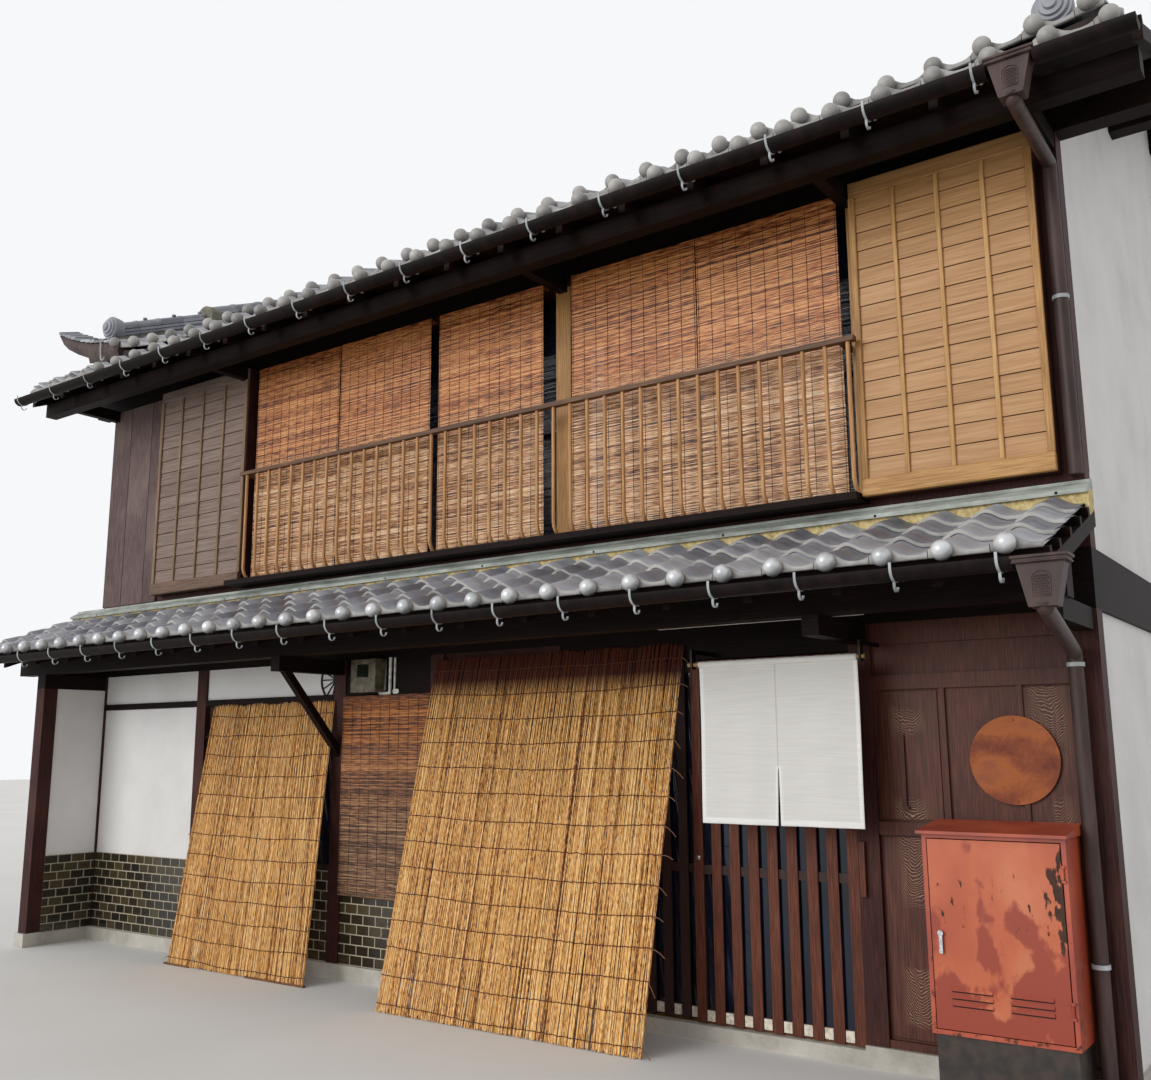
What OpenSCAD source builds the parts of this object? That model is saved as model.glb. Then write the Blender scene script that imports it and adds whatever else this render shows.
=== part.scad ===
// Machiya townhouse: two storeys of timber frame between a wing wall and a party wall,
// with a tiled pent roof over the street front and a tiled gable roof with a double eave.
// X runs along the street front and is centred on it, Y runs into the house from the face
// of the front posts, and Z is up from the ground.

/* [Overall] */
// Length of the street front over its end posts
frontage = 8400; // [7000:10:10080]
// Depth from the street face to the rear face
depth = 7280; // [6060:10:8740]
// Height of the concrete footing above the ground
foundation_h = 104; // [80:1:150]
// Underside of the beams that carry the upper floor
storey_z = 2240; // [2180:5:2690]
// Height of those beams
storey_beam_h = 300; // [250:5:360]
// Underside of the wall plates that carry the main roof
plate_z = 4720; // [4660:5:5600]

/* [Frame and walls] */
// Side of a square post
post_w = 120; // [100:5:145]
// Thickness of an infill wall
wall_t = 90; // [70:1:100]
// Distance from a post's face back to the face of the wall beside it
wall_set = 20; // [16:1:26]
// Width of the beams at the upper floor
storey_beam_w = 180; // [175:5:220]
// Thickness of the upper floor's boards
floor_t = 60; // [40:5:80]
// Top of the threshold and of the ground floor
threshold_z = 80; // [60:1:100]

/* [Street front, ground floor] */
// Width of the plastered bay beside the wing wall
plaster_bay_w = 1337; // [1100:1:1600]
// Width of the window bay behind the smaller reed screen
screen_bay_w = 1531; // [1300:1:1830]
// Width of the window bay behind the hanging blind
blind_bay_w = 852; // [710:1:1020]
// Clear width of the entrance
entrance_w = 1940; // [1620:1:2320]
// Width of the boarded bay at the right end
panel_bay_w = 1020; // [850:1:1220]
// Top of the glazed tile skirting
wainscot_z = 725; // [600:5:870]
// Thickness of the glazed tile skirting
wainscot_t = 12; // [8:1:15]
// Underside of the rail over the ground floor windows
rail_z = 1945; // [1850:5:2000]
// Height of that rail
rail_h = 50; // [40:1:60]
// Height of the entrance above the threshold
entrance_h = 2020; // [1950:5:2060]

/* [Wing wall] */
// How far the wing wall and its post stand out from the front
wing_out = 570; // [500:5:690]
// Height of the stone below the wing wall's post
stone_h = 110; // [80:1:150]

/* [Entrance leaves] */
// Overlap of the two sliding leaves where they meet
leaf_lap = 50; // [40:1:60]
// Thickness of a leaf's frame
leaf_t = 30; // [24:1:32]
// Width of a lattice slat
slat_w = 60; // [50:1:70]
// Distance from one slat to the next
slat_pitch = 108; // [100:1:125]
// Thickness of a lattice slat
slat_t = 10; // [8:1:12]
// Gap between a sliding leaf and what it passes
leaf_gap = 6; // [5:0.5:8]

/* [Hose cabinet] */
// Width of the cabinet
cabinet_w = 650; // [540:5:780]
// Depth of the cabinet
cabinet_d = 280; // [235:5:336]
// Height of the cabinet's box above its base
cabinet_h = 900; // [750:5:960]
// Height of the base that the cabinet stands on
cabinet_base_h = 285; // [240:5:340]
// Gap between the cabinet and the boarded bay
cabinet_off = 50; // [40:1:60]
// Thickness of the cabinet's walls
cabinet_t = 10; // [8:1:14]
// Gap round the cabinet's door
door_gap = 5; // [5:0.5:7]

/* [Pent roof] */
// Height of the tiles' bed at the wall above the storey beams' underside
pent_top_rise = 512; // [490:2:530]
// Distance of the caps out from the front
pent_out = 1000; // [850:10:1200]
// Rise of the pent roof for each unit of run
pent_rise = 0.38; // [0.34:0.01:0.42]
// Number of tile courses on the pent roof
pent_courses = 4; // [3:1:5]
// Overhang of the pent roof past the left wall
pent_left = 360; // [300:10:430]
// Overhang of the pent roof past the right end
pent_right = 50; // [30:5:60]

/* [Roof tiles] */
// Width of a tile as laid
tile_pitch = 265; // [250:1:300]
// Thickness of a tile
tile_t = 18; // [14:1:22]
// Height of a tile's roll above its trough
tile_roll = 48; // [40:1:56]
// Radius of the round cap on an eave tile
cap_r = 50; // [42:1:56]

/* [Main roof] */
// Distance of the lower row of caps out from the front
main_out = 716; // [640:5:800]
// Height of the lower row of caps above the wall plates' underside
main_cap_rise = 90; // [70:5:120]
// Rise of the main roof for each unit of run
main_rise = 0.42; // [0.4:0.01:0.46]
// Distance from the lower row of caps back to the upper row
row_step = 116; // [100:2:140]
// Overhang of the main roof past the left wall
main_left = 330; // [300:10:430]
// Overhang of the main roof past the right end
main_right = 550; // [460:10:660]
// Rise of the roof's left corner above the straight eave
sweep_h = 430; // [360:10:520]
// Length over which the roof rises towards its left corner
sweep_w = 2800; // [2400:50:3300]

/* [Upper front] */
// Width of the boarded wall at the left end
board_wall_w = 854; // [720:1:1020]
// Width of the left shutter box
left_box_w = 1129; // [940:1:1350]
// Width of the right shutter box
right_box_w = 992; // [830:1:1190]
// Depth of a shutter box in front of the posts
box_out = 110; // [90:5:130]
// Height of the sill under the blinds above the storey beams' top
sill_up = 390; // [360:5:420]
// Height of the handrail above the sill
handrail_up = 870; // [760:5:1000]
// Distance of the handrail out from the front
handrail_out = 180; // [165:5:210]
// Radius of a baluster
baluster_r = 12; // [10:1:14]
// Distance from one baluster to the next
baluster_pitch = 134; // [120:1:160]

/* [Screens and cloth] */
// Width of the smaller reed screen
small_screen_w = 1420; // [1200:10:1500]
// Height of the smaller reed screen
small_screen_h = 1985; // [1970:5:2000]
// How far the smaller screen's foot stands out
small_screen_out = 340; // [290:5:400]
// Width of the larger reed screen
large_screen_w = 1985; // [1700:5:2000]
// Height of the larger reed screen
large_screen_h = 2280; // [2200:5:2300]
// How far the larger screen's foot stands out
large_screen_out = 570; // [480:5:620]
// Thickness of a reed screen
screen_t = 16; // [12:1:20]
// Width of the door curtain
curtain_w = 930; // [780:5:1000]
// Drop of the door curtain
curtain_h = 850; // [710:5:1020]
// How far the door curtain hangs out from the front
curtain_out = 250; // [220:5:290]

/* [Hidden] */

$fn = 32;
left = -frontage / 2;
right = frontage / 2;
fit = 0.3;
storey_top = storey_z + storey_beam_h;

// Left edges of the ground floor's front posts, named by the bay at their right
post_1 = left;
post_2 = post_1 + post_w + plaster_bay_w;
post_3 = post_2 + post_w + screen_bay_w;
post_4 = post_3 + post_w + blind_bay_w;
post_7 = right - post_w;
post_6 = post_7 - panel_bay_w - post_w;
post_5 = post_6 - entrance_w - post_w;
front_posts_x = [post_1, post_2, post_3, post_4, post_5, post_6, post_7];

// Left edges of the upper front's posts
upper_post_w = 100;
window_left = left + board_wall_w + left_box_w;
window_right = right - upper_post_w - right_box_w;
window_w = window_right - window_left;
// The blinds' openings, as shares of the window band: left edge and width
blind_spans = [[0.0325, 0.183], [0.2177, 0.178], [0.411, 0.178], [0.633, 0.177], [0.811, 0.173]];
// The mullions between them: centre, as a share of the window band, and width
mullions = [[0.2165, 45], [0.4033, 60], [0.611, 120]];

// Planes of the two roofs, on which the lowest tiles bed
pent_a = atan(pent_rise);
function pent_z(y) = storey_z + pent_top_rise + y * pent_rise;
pent_cap_z = pent_z(-pent_out) + tile_roll;
main_cap_z = plate_z + main_cap_rise;
main_a = atan(main_rise);
cap_over_bed = 38;
function main_z(y) = main_cap_z - cap_over_bed + (y + main_out) * main_rise;

bed_t = 40;
board_t = 18;
rafter_h = 60;
rafter_w = 45;
rafter_pitch = 455;
function under_pent(y) = pent_z(y) - bed_t - board_t - rafter_h;
function under_main(y) = main_z(y) - bed_t - board_t - rafter_h;

// Rise of the main roof near its left corner
function sweep_up(x) = x < left + sweep_w ? sweep_h * pow((left + sweep_w - x) / sweep_w, 2.9) : 0;

// Section of a row of tiles: a narrow round roll at each pitch and a broad trough between
function roll(x) = tile_roll * pow((1 + cos(360 * x / tile_pitch)) / 2, 1.6);
wave_steps = 8;

module box(x0, x1, y0, y1, z0, z1) {
    translate([x0, y0, z0]) cube([x1 - x0, y1 - y0, z1 - z0]);
}

module prism_x(x0, x1, outline) {
    translate([x0, 0, 0]) rotate([90, 0, 90]) linear_extrude(x1 - x0) polygon(outline);
}

// A round bar bent through part of a circle, from its street side downwards
module bend(path_r, bar_r, angle) {
    rotate([-90, 0, 0]) rotate([0, 90, 0]) rotate_extrude(angle = angle) translate([path_r, 0]) circle(r = bar_r);
}

module foundation() {
    color("silver") {
        difference() {
            box(left, right, -20, depth + 20, 0, foundation_h);
            box(left + post_w, right - post_w, post_w, depth - post_w, -1, foundation_h + 1);
            box(post_5 + post_w, post_6, -21, post_w + 1, threshold_z - 40, foundation_h + 1);
        }
        box(left - 20, left + post_w, -wing_out - 20, -wing_out + post_w, 0, stone_h);
        box(left + wall_set, left + wall_set + wall_t, -wing_out + post_w, -20, 0, foundation_h);
    }
}

module ground_floor() {
    color("gray") box(left + post_w, right - post_w, post_w, depth - post_w, 0, threshold_z);
}

module upper_floor() {
    color("tan") box(left + post_w, right - post_w, post_w, depth - post_w, storey_top, storey_top + floor_t);
}

module ground_posts() {
    color("#3a241b") {
        for (x = front_posts_x) box(x, x + post_w, 0, post_w, foundation_h, storey_z);
        for (x = [post_1, post_3, post_5, post_7]) {
            box(x, x + post_w, depth - post_w, depth, foundation_h, storey_z);
        }
        box(left, left + post_w, -wing_out, -wing_out + post_w, stone_h, storey_z - post_w);
    }
}

module storey_beams() {
    color("#33201a") difference() {
        box(left, right, 0, depth, storey_z, storey_top);
        box(left + storey_beam_w, right - storey_beam_w, storey_beam_w, depth - storey_beam_w,
            storey_z - 1, storey_top + 1);
    }
}

// The front's window bays, by left and right edge
window_bays = [[post_2 + post_w, post_3], [post_3 + post_w, post_4], [post_4 + post_w, post_5]];

module front_walls() {
    color("white") {
        box(post_1 + post_w, post_2, wall_set, wall_set + wall_t, foundation_h, rail_z);
        box(post_1 + post_w, post_2, wall_set, wall_set + wall_t, rail_z + rail_h, storey_z);
        for (bay = window_bays) {
            box(bay[0], bay[1], wall_set, wall_set + wall_t, foundation_h, wainscot_z);
            box(bay[0], bay[1], wall_set, wall_set + wall_t, rail_z + rail_h, storey_z);
        }
    }
}

module front_rails() {
    color("#33201a") {
        box(post_1 + post_w, post_2, 0, wall_set + wall_t, rail_z, rail_z + rail_h);
        for (bay = window_bays) {
            box(bay[0], bay[1], 0, wall_set + wall_t, rail_z, rail_z + rail_h);
        }
        box(post_3 + post_w, post_4, wall_set - meter_board_t, wall_set, rail_z + rail_h, storey_z);
    }
}

module wainscot() {
    color("#1c2420") {
        box(post_1 + post_w, post_2, wall_set - wainscot_t, wall_set, foundation_h, wainscot_z);
        for (bay = window_bays) {
            box(bay[0], bay[1], wall_set - wainscot_t, wall_set, foundation_h, wainscot_z);
        }
        box(left + wall_set + wall_t, left + wall_set + wall_t + wainscot_t, -wing_out + post_w, 0,
            foundation_h, wainscot_z);
        box(left + wall_set - wainscot_t, left + wall_set, post_w, depth - post_w, foundation_h, wainscot_z);
        for (bay = rear_bays) {
            box(bay[0], bay[1], depth - wall_set, depth - wall_set + wainscot_t, foundation_h, wainscot_z);
        }
    }
}

// A window's frame with a middle stile
module window_frame(x0, x1, y, z0, z1, bar) {
    difference() {
        box(x0, x1, y, y + 40, z0, z1);
        box(x0 + bar, (x0 + x1 - bar) / 2, y - 1, y + 41, z0 + bar, z1 - bar);
        box((x0 + x1 + bar) / 2, x1 - bar, y - 1, y + 41, z0 + bar, z1 - bar);
    }
}

module window_panes(x0, x1, y, z0, z1, bar) {
    box(x0 + bar, (x0 + x1 - bar) / 2, y + 17, y + 23, z0 + bar, z1 - bar);
    box((x0 + x1 + bar) / 2, x1 - bar, y + 17, y + 23, z0 + bar, z1 - bar);
}

sash = 45;
rear_bays = [[post_1 + post_w, post_3], [post_3 + post_w, post_5], [post_5 + post_w, post_7]];
rear_sill_z = wainscot_z + 200;

module ground_windows() {
    color("#4a3024") {
        for (bay = window_bays) window_frame(bay[0], bay[1], wall_set + 25, wainscot_z, rail_z, sash);
        for (bay = rear_bays) {
            window_frame(bay[0] + 400, bay[1] - 400, depth - 90, rear_sill_z, rail_z, sash);
        }
    }
}

module ground_glass() {
    color("lightblue", 0.4) {
        for (bay = window_bays) window_panes(bay[0], bay[1], wall_set + 25, wainscot_z, rail_z, sash);
        for (bay = rear_bays) {
            window_panes(bay[0] + 400, bay[1] - 400, depth - 90, rear_sill_z, rail_z, sash);
        }
    }
}

module wing_wall() {
    color("white") box(left + wall_set, left + wall_set + wall_t, -wing_out + post_w, 0,
        foundation_h, storey_z - post_w);
}

module left_wall_ground() {
    color("white") box(left + wall_set, left + wall_set + wall_t, post_w, depth - post_w,
        foundation_h, storey_z);
}

// Outline of an end wall from the storey beams up to the rafters
function gable(y0) = [[y0, storey_top], [depth - y0, storey_top], [depth - y0, under_main(y0)],
    [depth / 2, under_main(depth / 2)], [y0, under_main(y0)]];

purlin_w = 120;
ridge_purlin_h = 240;
side_purlin_h = 150;

// A beam under the rafters; as a notch for it, it runs up through the wall's top
module purlin(x0, x1, y, h, notch) {
    low_edge = min(y, depth - y) - purlin_w / 2;
    top = under_main(low_edge);
    play = notch ? fit : 0;
    box(x0, x1, y - purlin_w / 2 - play, y + purlin_w / 2 + play, top - h - play, top + (notch ? 400 : 0));
}

module roof_purlins(notch = false) {
    x0 = left - main_left + 30;
    x1 = right + main_right - 60;
    for (y = [depth / 4, depth * 3 / 4]) purlin(x0, x1, y, side_purlin_h, notch);
    purlin(x0, x1, depth / 2, ridge_purlin_h, notch);
}

// The plates over the front and rear walls
module plates() {
    x0 = left - main_left;
    x1 = right + main_right - 60;
    top = under_main(0);
    box(x0, x1, 0, post_w, plate_z, top);
    box(x0, x1, depth - post_w, depth, plate_z, top);
}

module left_wall_upper() {
    color("#4b3326") difference() {
        prism_x(left + wall_set, left + wall_set + wall_t, gable(post_w));
        roof_purlins(notch = true);
    }
}

module party_wall() {
    color("gainsboro") {
        box(right - wall_set - wall_t, right - wall_set, post_w, depth - post_w, foundation_h, storey_z);
        difference() {
            prism_x(right - wall_set - wall_t, right - wall_set, gable(post_w));
            roof_purlins(notch = true);
        }
    }
}

module wall_with_window(x0, x1, y0, z0, z1, wx0, wx1, wz0, wz1) {
    difference() {
        box(x0, x1, y0, y0 + wall_t, z0, z1);
        box(wx0, wx1, y0 - 1, y0 + wall_t + 1, wz0, wz1);
    }
}

upper_sill_z = storey_top + sill_up;
upper_head_z = plate_z;
module rear_walls() {
    color("white") {
        for (bay = rear_bays) {
            wall_with_window(bay[0], bay[1], depth - wall_set - wall_t, foundation_h, storey_z,
                bay[0] + 400, bay[1] - 400, rear_sill_z, rail_z);
        }
        for (bay = rear_bays) {
            wall_with_window(bay[0], bay[1], depth - wall_set - wall_t, storey_top, plate_z,
                bay[0] + 400, bay[1] - 400, upper_sill_z, upper_head_z - 250);
        }
        for (x = [post_1, post_3, post_5, post_7]) {
            box(x, x + post_w, depth - post_w, depth, storey_top, plate_z);
        }
    }
}

// Entrance: threshold with two tracks, head and the wall over it
leaf_end_gap = 5;
leaf_w = (entrance_w + leaf_lap) / 2 - leaf_end_gap;
track_h = 5;
leaf_z0 = threshold_z + track_h + fit;
leaf_z1 = threshold_z + entrance_h - 6;
front_track = 14;
rear_track = front_track + leaf_t + slat_t + leaf_gap;

module door_frame() {
    color("#3b2219") {
        box(post_5 + post_w, post_6, -20, post_w, threshold_z - 40, threshold_z);
        for (y = [front_track, rear_track]) {
            box(post_5 + post_w, post_6, y + slat_t + leaf_t / 2 - 4, y + slat_t + leaf_t / 2 + 4,
                threshold_z, threshold_z + track_h);
        }
        box(post_5 + post_w, post_6, 0, post_w, threshold_z + entrance_h, storey_z);
    }
    color("#141414") {
        box(post_6 + 17, post_6 + 46, -26, -14, pull_z, pull_z + 275);
        for (z = [pull_z + 8, pull_z + 250]) box(post_6 + 17, post_6 + 46, -14, 0, z, z + 16);
    }
}
pull_z = 830;

module leaf(x0, y) {
    count = floor((leaf_w - slat_w) / slat_pitch);
    step = (leaf_w - slat_w) / count;
    difference() {
        box(x0, x0 + leaf_w, y + slat_t, y + slat_t + leaf_t, leaf_z0, leaf_z1);
        for (z = [[leaf_z0 + 70, leaf_z0 + 800], [leaf_z0 + 850, leaf_z1 - 60]]) {
            box(x0 + slat_w, x0 + leaf_w - slat_w, y, y + slat_t + leaf_t + 1, z[0], z[1]);
        }
    }
    for (i = [0:count]) box(x0 + i * step, x0 + i * step + slat_w, y, y + slat_t, leaf_z0, leaf_z1);
}

module leaf_panes(x0, y) {
    for (z = [[leaf_z0 + 70, leaf_z0 + 800], [leaf_z0 + 850, leaf_z1 - 60]]) {
        box(x0 + slat_w, x0 + leaf_w - slat_w, y + slat_t + 12, y + slat_t + 17, z[0], z[1]);
    }
}

right_leaf_x = post_6 - leaf_end_gap - leaf_w;
left_leaf_x = post_5 + post_w + leaf_end_gap;
lock_z = leaf_z0 + 890;

module left_leaf() {
    color("#3b2219") leaf(left_leaf_x, rear_track);
}

module left_leaf_glass() {
    color("lightblue", 0.4) leaf_panes(left_leaf_x, rear_track);
}

module right_leaf() {
    color("#4a2b20") {
        leaf(right_leaf_x, front_track);
        translate([right_leaf_x + slat_w / 2, front_track, lock_z]) rotate([90, 0, 0]) cylinder(h = 5, r = 16);
    }
}

module right_leaf_glass() {
    color("lightblue", 0.4) leaf_panes(right_leaf_x, front_track);
}

// Boarded bay at the right: rails and stiles proud of three columns of boards
panel_x0 = post_6 + post_w;
panel_x1 = post_7;
panel_rails = [[foundation_h, 143 + foundation_h - 104], [1145, 1210], [1888, 1963], [2125, storey_z]];
module right_bay_panelling() {
    color("#3b2219") {
        box(panel_x0, panel_x1, 30, post_w - 10, foundation_h, storey_z);
        for (z = panel_rails) box(panel_x0, panel_x1, 6, 30, z[0], z[1]);
        for (x = [panel_x0 + 355, panel_x0 + 740]) box(x, x + 24, 12, 30, panel_rails[0][1], panel_rails[2][0]);
        box(panel_x0 + 132, panel_x0 + 156, 8, 30, 1290, 1655);
        box(panel_x0 + 132, panel_x0 + 168, -2, 30, 1278, 1290);
    }
}

disc_r = 215;
disc_x = panel_x1 - 314;
disc_z = 1525;
module iron_disc() {
    color("#7a3420") {
        translate([disc_x, 12 - 8, disc_z]) rotate([-90, 0, 0]) cylinder(h = 8, r = disc_r);
        for (s = [-1, 1]) {
            translate([disc_x, 4, disc_z + s * (disc_r - 20)]) rotate([90, 0, 0]) cylinder(h = 6, r = 9);
            translate([disc_x, 12, disc_z + s * (disc_r - 20)]) rotate([-90, 0, 0]) cylinder(h = 18, r = 6);
        }
    }
}

// Hose cabinet: a steel box with a door hung at its right edge
cab_x1 = right - 150;
cab_x0 = cab_x1 - cabinet_w;
cab_y1 = -cabinet_off;
cab_y0 = cab_y1 - cabinet_d;
cab_z0 = cabinet_base_h;
cab_z1 = cab_z0 + cabinet_h;
cab_rim = 20;
cab_door_t = 16;
cab_hinge = [cab_x1 - cab_rim, cab_y0 - 9];
knuckle_r = 7;
knuckle_h = 50;
pin_r = 3;
hinge_zs = [cab_z0 + 0.16 * cabinet_h, cab_z0 + 0.8 * cabinet_h];
handle_x = cab_x0 + cab_rim + door_gap + 45;
handle_z = cab_z0 + 0.5 * cabinet_h;

module cabinet_base() {
    color("#2b2522") box(cab_x0 + 15, cab_x1 - 15, cab_y0 + 15, -20, 0, cab_z0);
}

module cabinet_body() {
    color("#a0402e") difference() {
        box(cab_x0, cab_x1, cab_y0, cab_y1, cab_z0, cab_z1);
        box(cab_x0 + cabinet_t, cab_x1 - cabinet_t, cab_y0 + cab_rim, cab_y1 - cabinet_t,
            cab_z0 + cabinet_t, cab_z1 - cabinet_t);
        box(cab_x0 + cab_rim, cab_x1 - cab_rim, cab_y0 - 1, cab_y0 + cab_rim + 1,
            cab_z0 + cab_rim, cab_z1 - cab_rim);
    }
    // Hinge pins, each held at both ends by an ear on the front
    color("#8a3a2a") for (z = hinge_zs) {
        translate([cab_hinge[0], cab_hinge[1], z - 12]) cylinder(h = knuckle_h + 24, r = pin_r);
        for (e = [z - 12, z + knuckle_h + 1]) {
            box(cab_hinge[0] - 4, cab_hinge[0] + 12, cab_hinge[1] - 5, cab_y0, e, e + 11);
        }
    }
}

module cabinet_lid() {
    color("#a0402e") prism_x(cab_x0 - 15, cab_x1 + 15, [[cab_y0 - 40, cab_z1], [cab_y1, cab_z1],
        [cab_y1, cab_z1 + 52], [cab_y0 - 40, cab_z1 + 14]]);
}

module cabinet_door() {
    x0 = cab_x0 + cab_rim + door_gap;
    x1 = cab_x1 - cab_rim - door_gap;
    z0 = cab_z0 + cab_rim + door_gap;
    z1 = cab_z1 - cab_rim - door_gap;
    color("#a8432f") difference() {
        box(x0, x1, cab_y0 - 2, cab_y0 - 2 + cab_door_t, z0, z1);
        translate([handle_x, cab_y0 - 3, handle_z]) rotate([-90, 0, 0]) cylinder(h = cab_door_t + 2, r = 6.3);
    }
    color("#a8432f") for (x = [0.13, 0.57]) for (z = [0.15, 0.185, 0.22]) {
        y = cab_y0 - 2;
        prism_x(x0 + x * (x1 - x0), x0 + (x + 0.31) * (x1 - x0), [[y + 2, cab_z0 + z * cabinet_h],
            [y - 9, cab_z0 + z * cabinet_h], [y - 9, cab_z0 + z * cabinet_h + 5], [y + 2, cab_z0 + z * cabinet_h + 22]]);
    }
    color("#8a3a2a") for (z = hinge_zs) difference() {
        union() {
            translate([cab_hinge[0], cab_hinge[1], z]) cylinder(h = knuckle_h, r = knuckle_r);
            box(x1 - 25, cab_hinge[0], cab_y0 - 6, cab_y0 - 2, z, z + knuckle_h);
        }
        translate([cab_hinge[0], cab_hinge[1], z - 1]) cylinder(h = knuckle_h + 2, r = pin_r + fit);
    }
}

module cabinet_handle() {
    color("silver") {
        translate([handle_x, cab_y0 - 2 + cab_door_t + 4, handle_z]) rotate([90, 0, 0])
            cylinder(h = cab_door_t + 4 + 8, r = 6);
        translate([handle_x, cab_y0 - 2 - 5, handle_z]) rotate([90, 0, 0]) cylinder(h = 14, r = 13);
        box(handle_x - 8, handle_x + 8, cab_y0 - 21, cab_y0 - 13, handle_z - 90, handle_z);
    }
}

// Door curtain on its pole
curtain_x1 = post_6 + 150;
curtain_x0 = curtain_x1 - curtain_w;
pole_r = 13;
pole_z = threshold_z + entrance_h - 50;
module noren() {
    y = -curtain_out;
    color("ivory") difference() {
        box(curtain_x0, curtain_x1, y - 2, y + 2, pole_z - pole_r - curtain_h, pole_z - pole_r - fit);
        box(curtain_x0 + curtain_w / 2 - 2, curtain_x0 + curtain_w / 2 + 2, y - 3, y + 3,
            pole_z - pole_r - curtain_h - 1, pole_z - pole_r - 0.62 * curtain_h);
    }
}

module noren_pole() {
    color("goldenrod") translate([curtain_x0 - 70, -curtain_out, pole_z]) rotate([0, 90, 0])
        cylinder(h = curtain_w + 110, r = pole_r);
}

module noren_brackets() {
    color("#1a1a1a") for (x = [curtain_x0 - 45, curtain_x1 + 15]) difference() {
        union() {
            box(x, x + 12, -curtain_out - 12, 0, threshold_z + entrance_h + 10, threshold_z + entrance_h + 34);
            box(x, x + 12, -curtain_out - 22, -curtain_out + 22, pole_z - 24, threshold_z + entrance_h + 34);
        }
        translate([x - 1, -curtain_out, pole_z]) rotate([0, 90, 0]) cylinder(h = 14, r = pole_r + fit);
    }
}

// A reed screen leaning on the front: its foot stands out and its top rests at the rail
module reed_screen(x0, w, h, out) {
    lean = asin((out - screen_t - fit) / h);
    translate([x0, -out, 0]) rotate([-lean, 0, 0]) cube([w, screen_t, h]);
}

module small_reed_screen() {
    color("#c9a35a") reed_screen(post_2 + post_w + 130, small_screen_w, small_screen_h, small_screen_out);
}

module large_reed_screen() {
    color("#c9a35a") reed_screen(post_6 - 1010 - large_screen_w, large_screen_w, large_screen_h, large_screen_out);
}

module ground_blind() {
    color("#7a5a3a") {
        box(post_3 + post_w + 10, post_4 + 20, -30, -22, rail_z - 1375, rail_z + 20);
        box(post_3 + post_w + 10, post_4 + 20, -22, 0, rail_z + 5, rail_z + 30);
    }
}

// Meter box on a dark board, with two conduits down from the beams and an oval plate
meter_x = post_3 + 280;
meter_w = 250;
meter_d = 100;
meter_board_t = 12;
conduit_r = 11;
module meter_box() {
    z0 = rail_z + rail_h;
    x1 = meter_x + meter_w;
    y = -conduit_r - fit;
    elbow_z = z0 - conduit_r + 3;
    color("beige") {
        difference() {
            box(meter_x, x1, -meter_d, wall_set - meter_board_t, z0 + fit, z0 + 235);
            box(meter_x + 60, x1 - 70, -meter_d - 1, -meter_d + 8, z0 + 105, z0 + 200);
        }
        translate([x1 + 60, y, elbow_z]) cylinder(h = storey_z - elbow_z, r = conduit_r);
        translate([x1 - 40, y, elbow_z]) rotate([0, 90, 0]) cylinder(h = 100, r = conduit_r);
        translate([x1 - 40, y, elbow_z]) cylinder(h = 60, r = conduit_r);
        translate([x1 + 60, y, elbow_z]) sphere(r = conduit_r);
        translate([x1 + 95, wall_set - meter_board_t - 8, z0 + fit]) cylinder(h = storey_z - z0 - fit, r = 8);
        for (x = [-14, 14]) translate([x1 + 110 + x, 0, rail_z + 53]) rotate([90, 0, 0]) cylinder(h = 6, r = 17);
        box(x1 + 96, x1 + 124, -6, 0, rail_z + 36, rail_z + 70);
    }
}

// Iron fan in the corner between the centre post and the rail: a half ring on spokes
fan_r = 165;
module fan_grille() {
    rise = 110;
    color("#17120f") translate([post_3 - fit, wall_set - fit, rail_z + rail_h]) rotate([90, 0, 0]) linear_extrude(8)
        intersection() {
            translate([0, rise]) {
                difference() {
                    circle(r = fan_r);
                    circle(r = fan_r - 14);
                }
                circle(r = 30);
                for (a = [105:25:255]) rotate(a) translate([0, -4]) square([fan_r - 6, 8]);
            }
            translate([-fan_r - 1, fit]) square([fan_r + 1, storey_z - rail_z - rail_h - 2 * fit]);
        }
}

module lamp() {
    y = -wing_out + post_w;
    color("white") box(post_6 - 940, post_6 + 260, y, y + 45, storey_z + 2, storey_z + 52);
}

// Pent roof frame: the eave beam on arms that run out from the posts
arm_h = post_w - 15;
arm_w = 90;
brace_x = post_3 + 30;
module pent_eave_frame() {
    y0 = -wing_out;
    y1 = -wing_out + post_w;
    color("#33201a") {
        box(left - pent_left + 60, right, y0, y1, storey_z, under_pent(y0));
        box(left, left + post_w, y0, 0, storey_z - post_w, storey_z);
        for (x = [post_3 + 15, post_6 + 15, post_7 + 15]) {
            box(x, x + arm_w, y0 - 40, 0, storey_z - arm_h, storey_z);
        }
        prism_x(brace_x, brace_x + 50, [[0, 1540], [0, 1620], [-470, storey_z - arm_h], [-540, storey_z - arm_h]]);
    }
}

// Rafters with the boards on them, as one piece
module boarding(x0, x1, y0, y1, z0, z1, battens) {
    a = atan((z1 - z0) / (y1 - y0));
    for (b = battens) {
        translate([x0, b[0], z0 + (b[0] - y0) * tan(a)]) rotate([a, 0, 0]) cube([x1 - x0, 36, bed_t * cos(a) + b[1]]);
    }
    prism_x(x0, x1, [[y0, z0 - board_t], [y1, z1 - board_t], [y1, z1], [y0, z0]]);
    count = floor((x1 - x0 - rafter_w) / rafter_pitch);
    step = (x1 - x0 - rafter_w) / count;
    for (i = [0:count]) {
        prism_x(x0 + i * step, x0 + i * step + rafter_w, [[y0, z0 - board_t - rafter_h],
            [y1, z1 - board_t - rafter_h], [y1, z1 - board_t], [y0, z0 - board_t]]);
    }
}

// Tiles lie a little flatter than the roof: each nose on the tile below, each tail on a batten
lap = 30;
function tilt(gauge) = asin((tile_t + 1.2 * fit) / gauge);
function nose_up(gauge) = (gauge + lap) * sin(tilt(gauge)) + fit;

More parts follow.
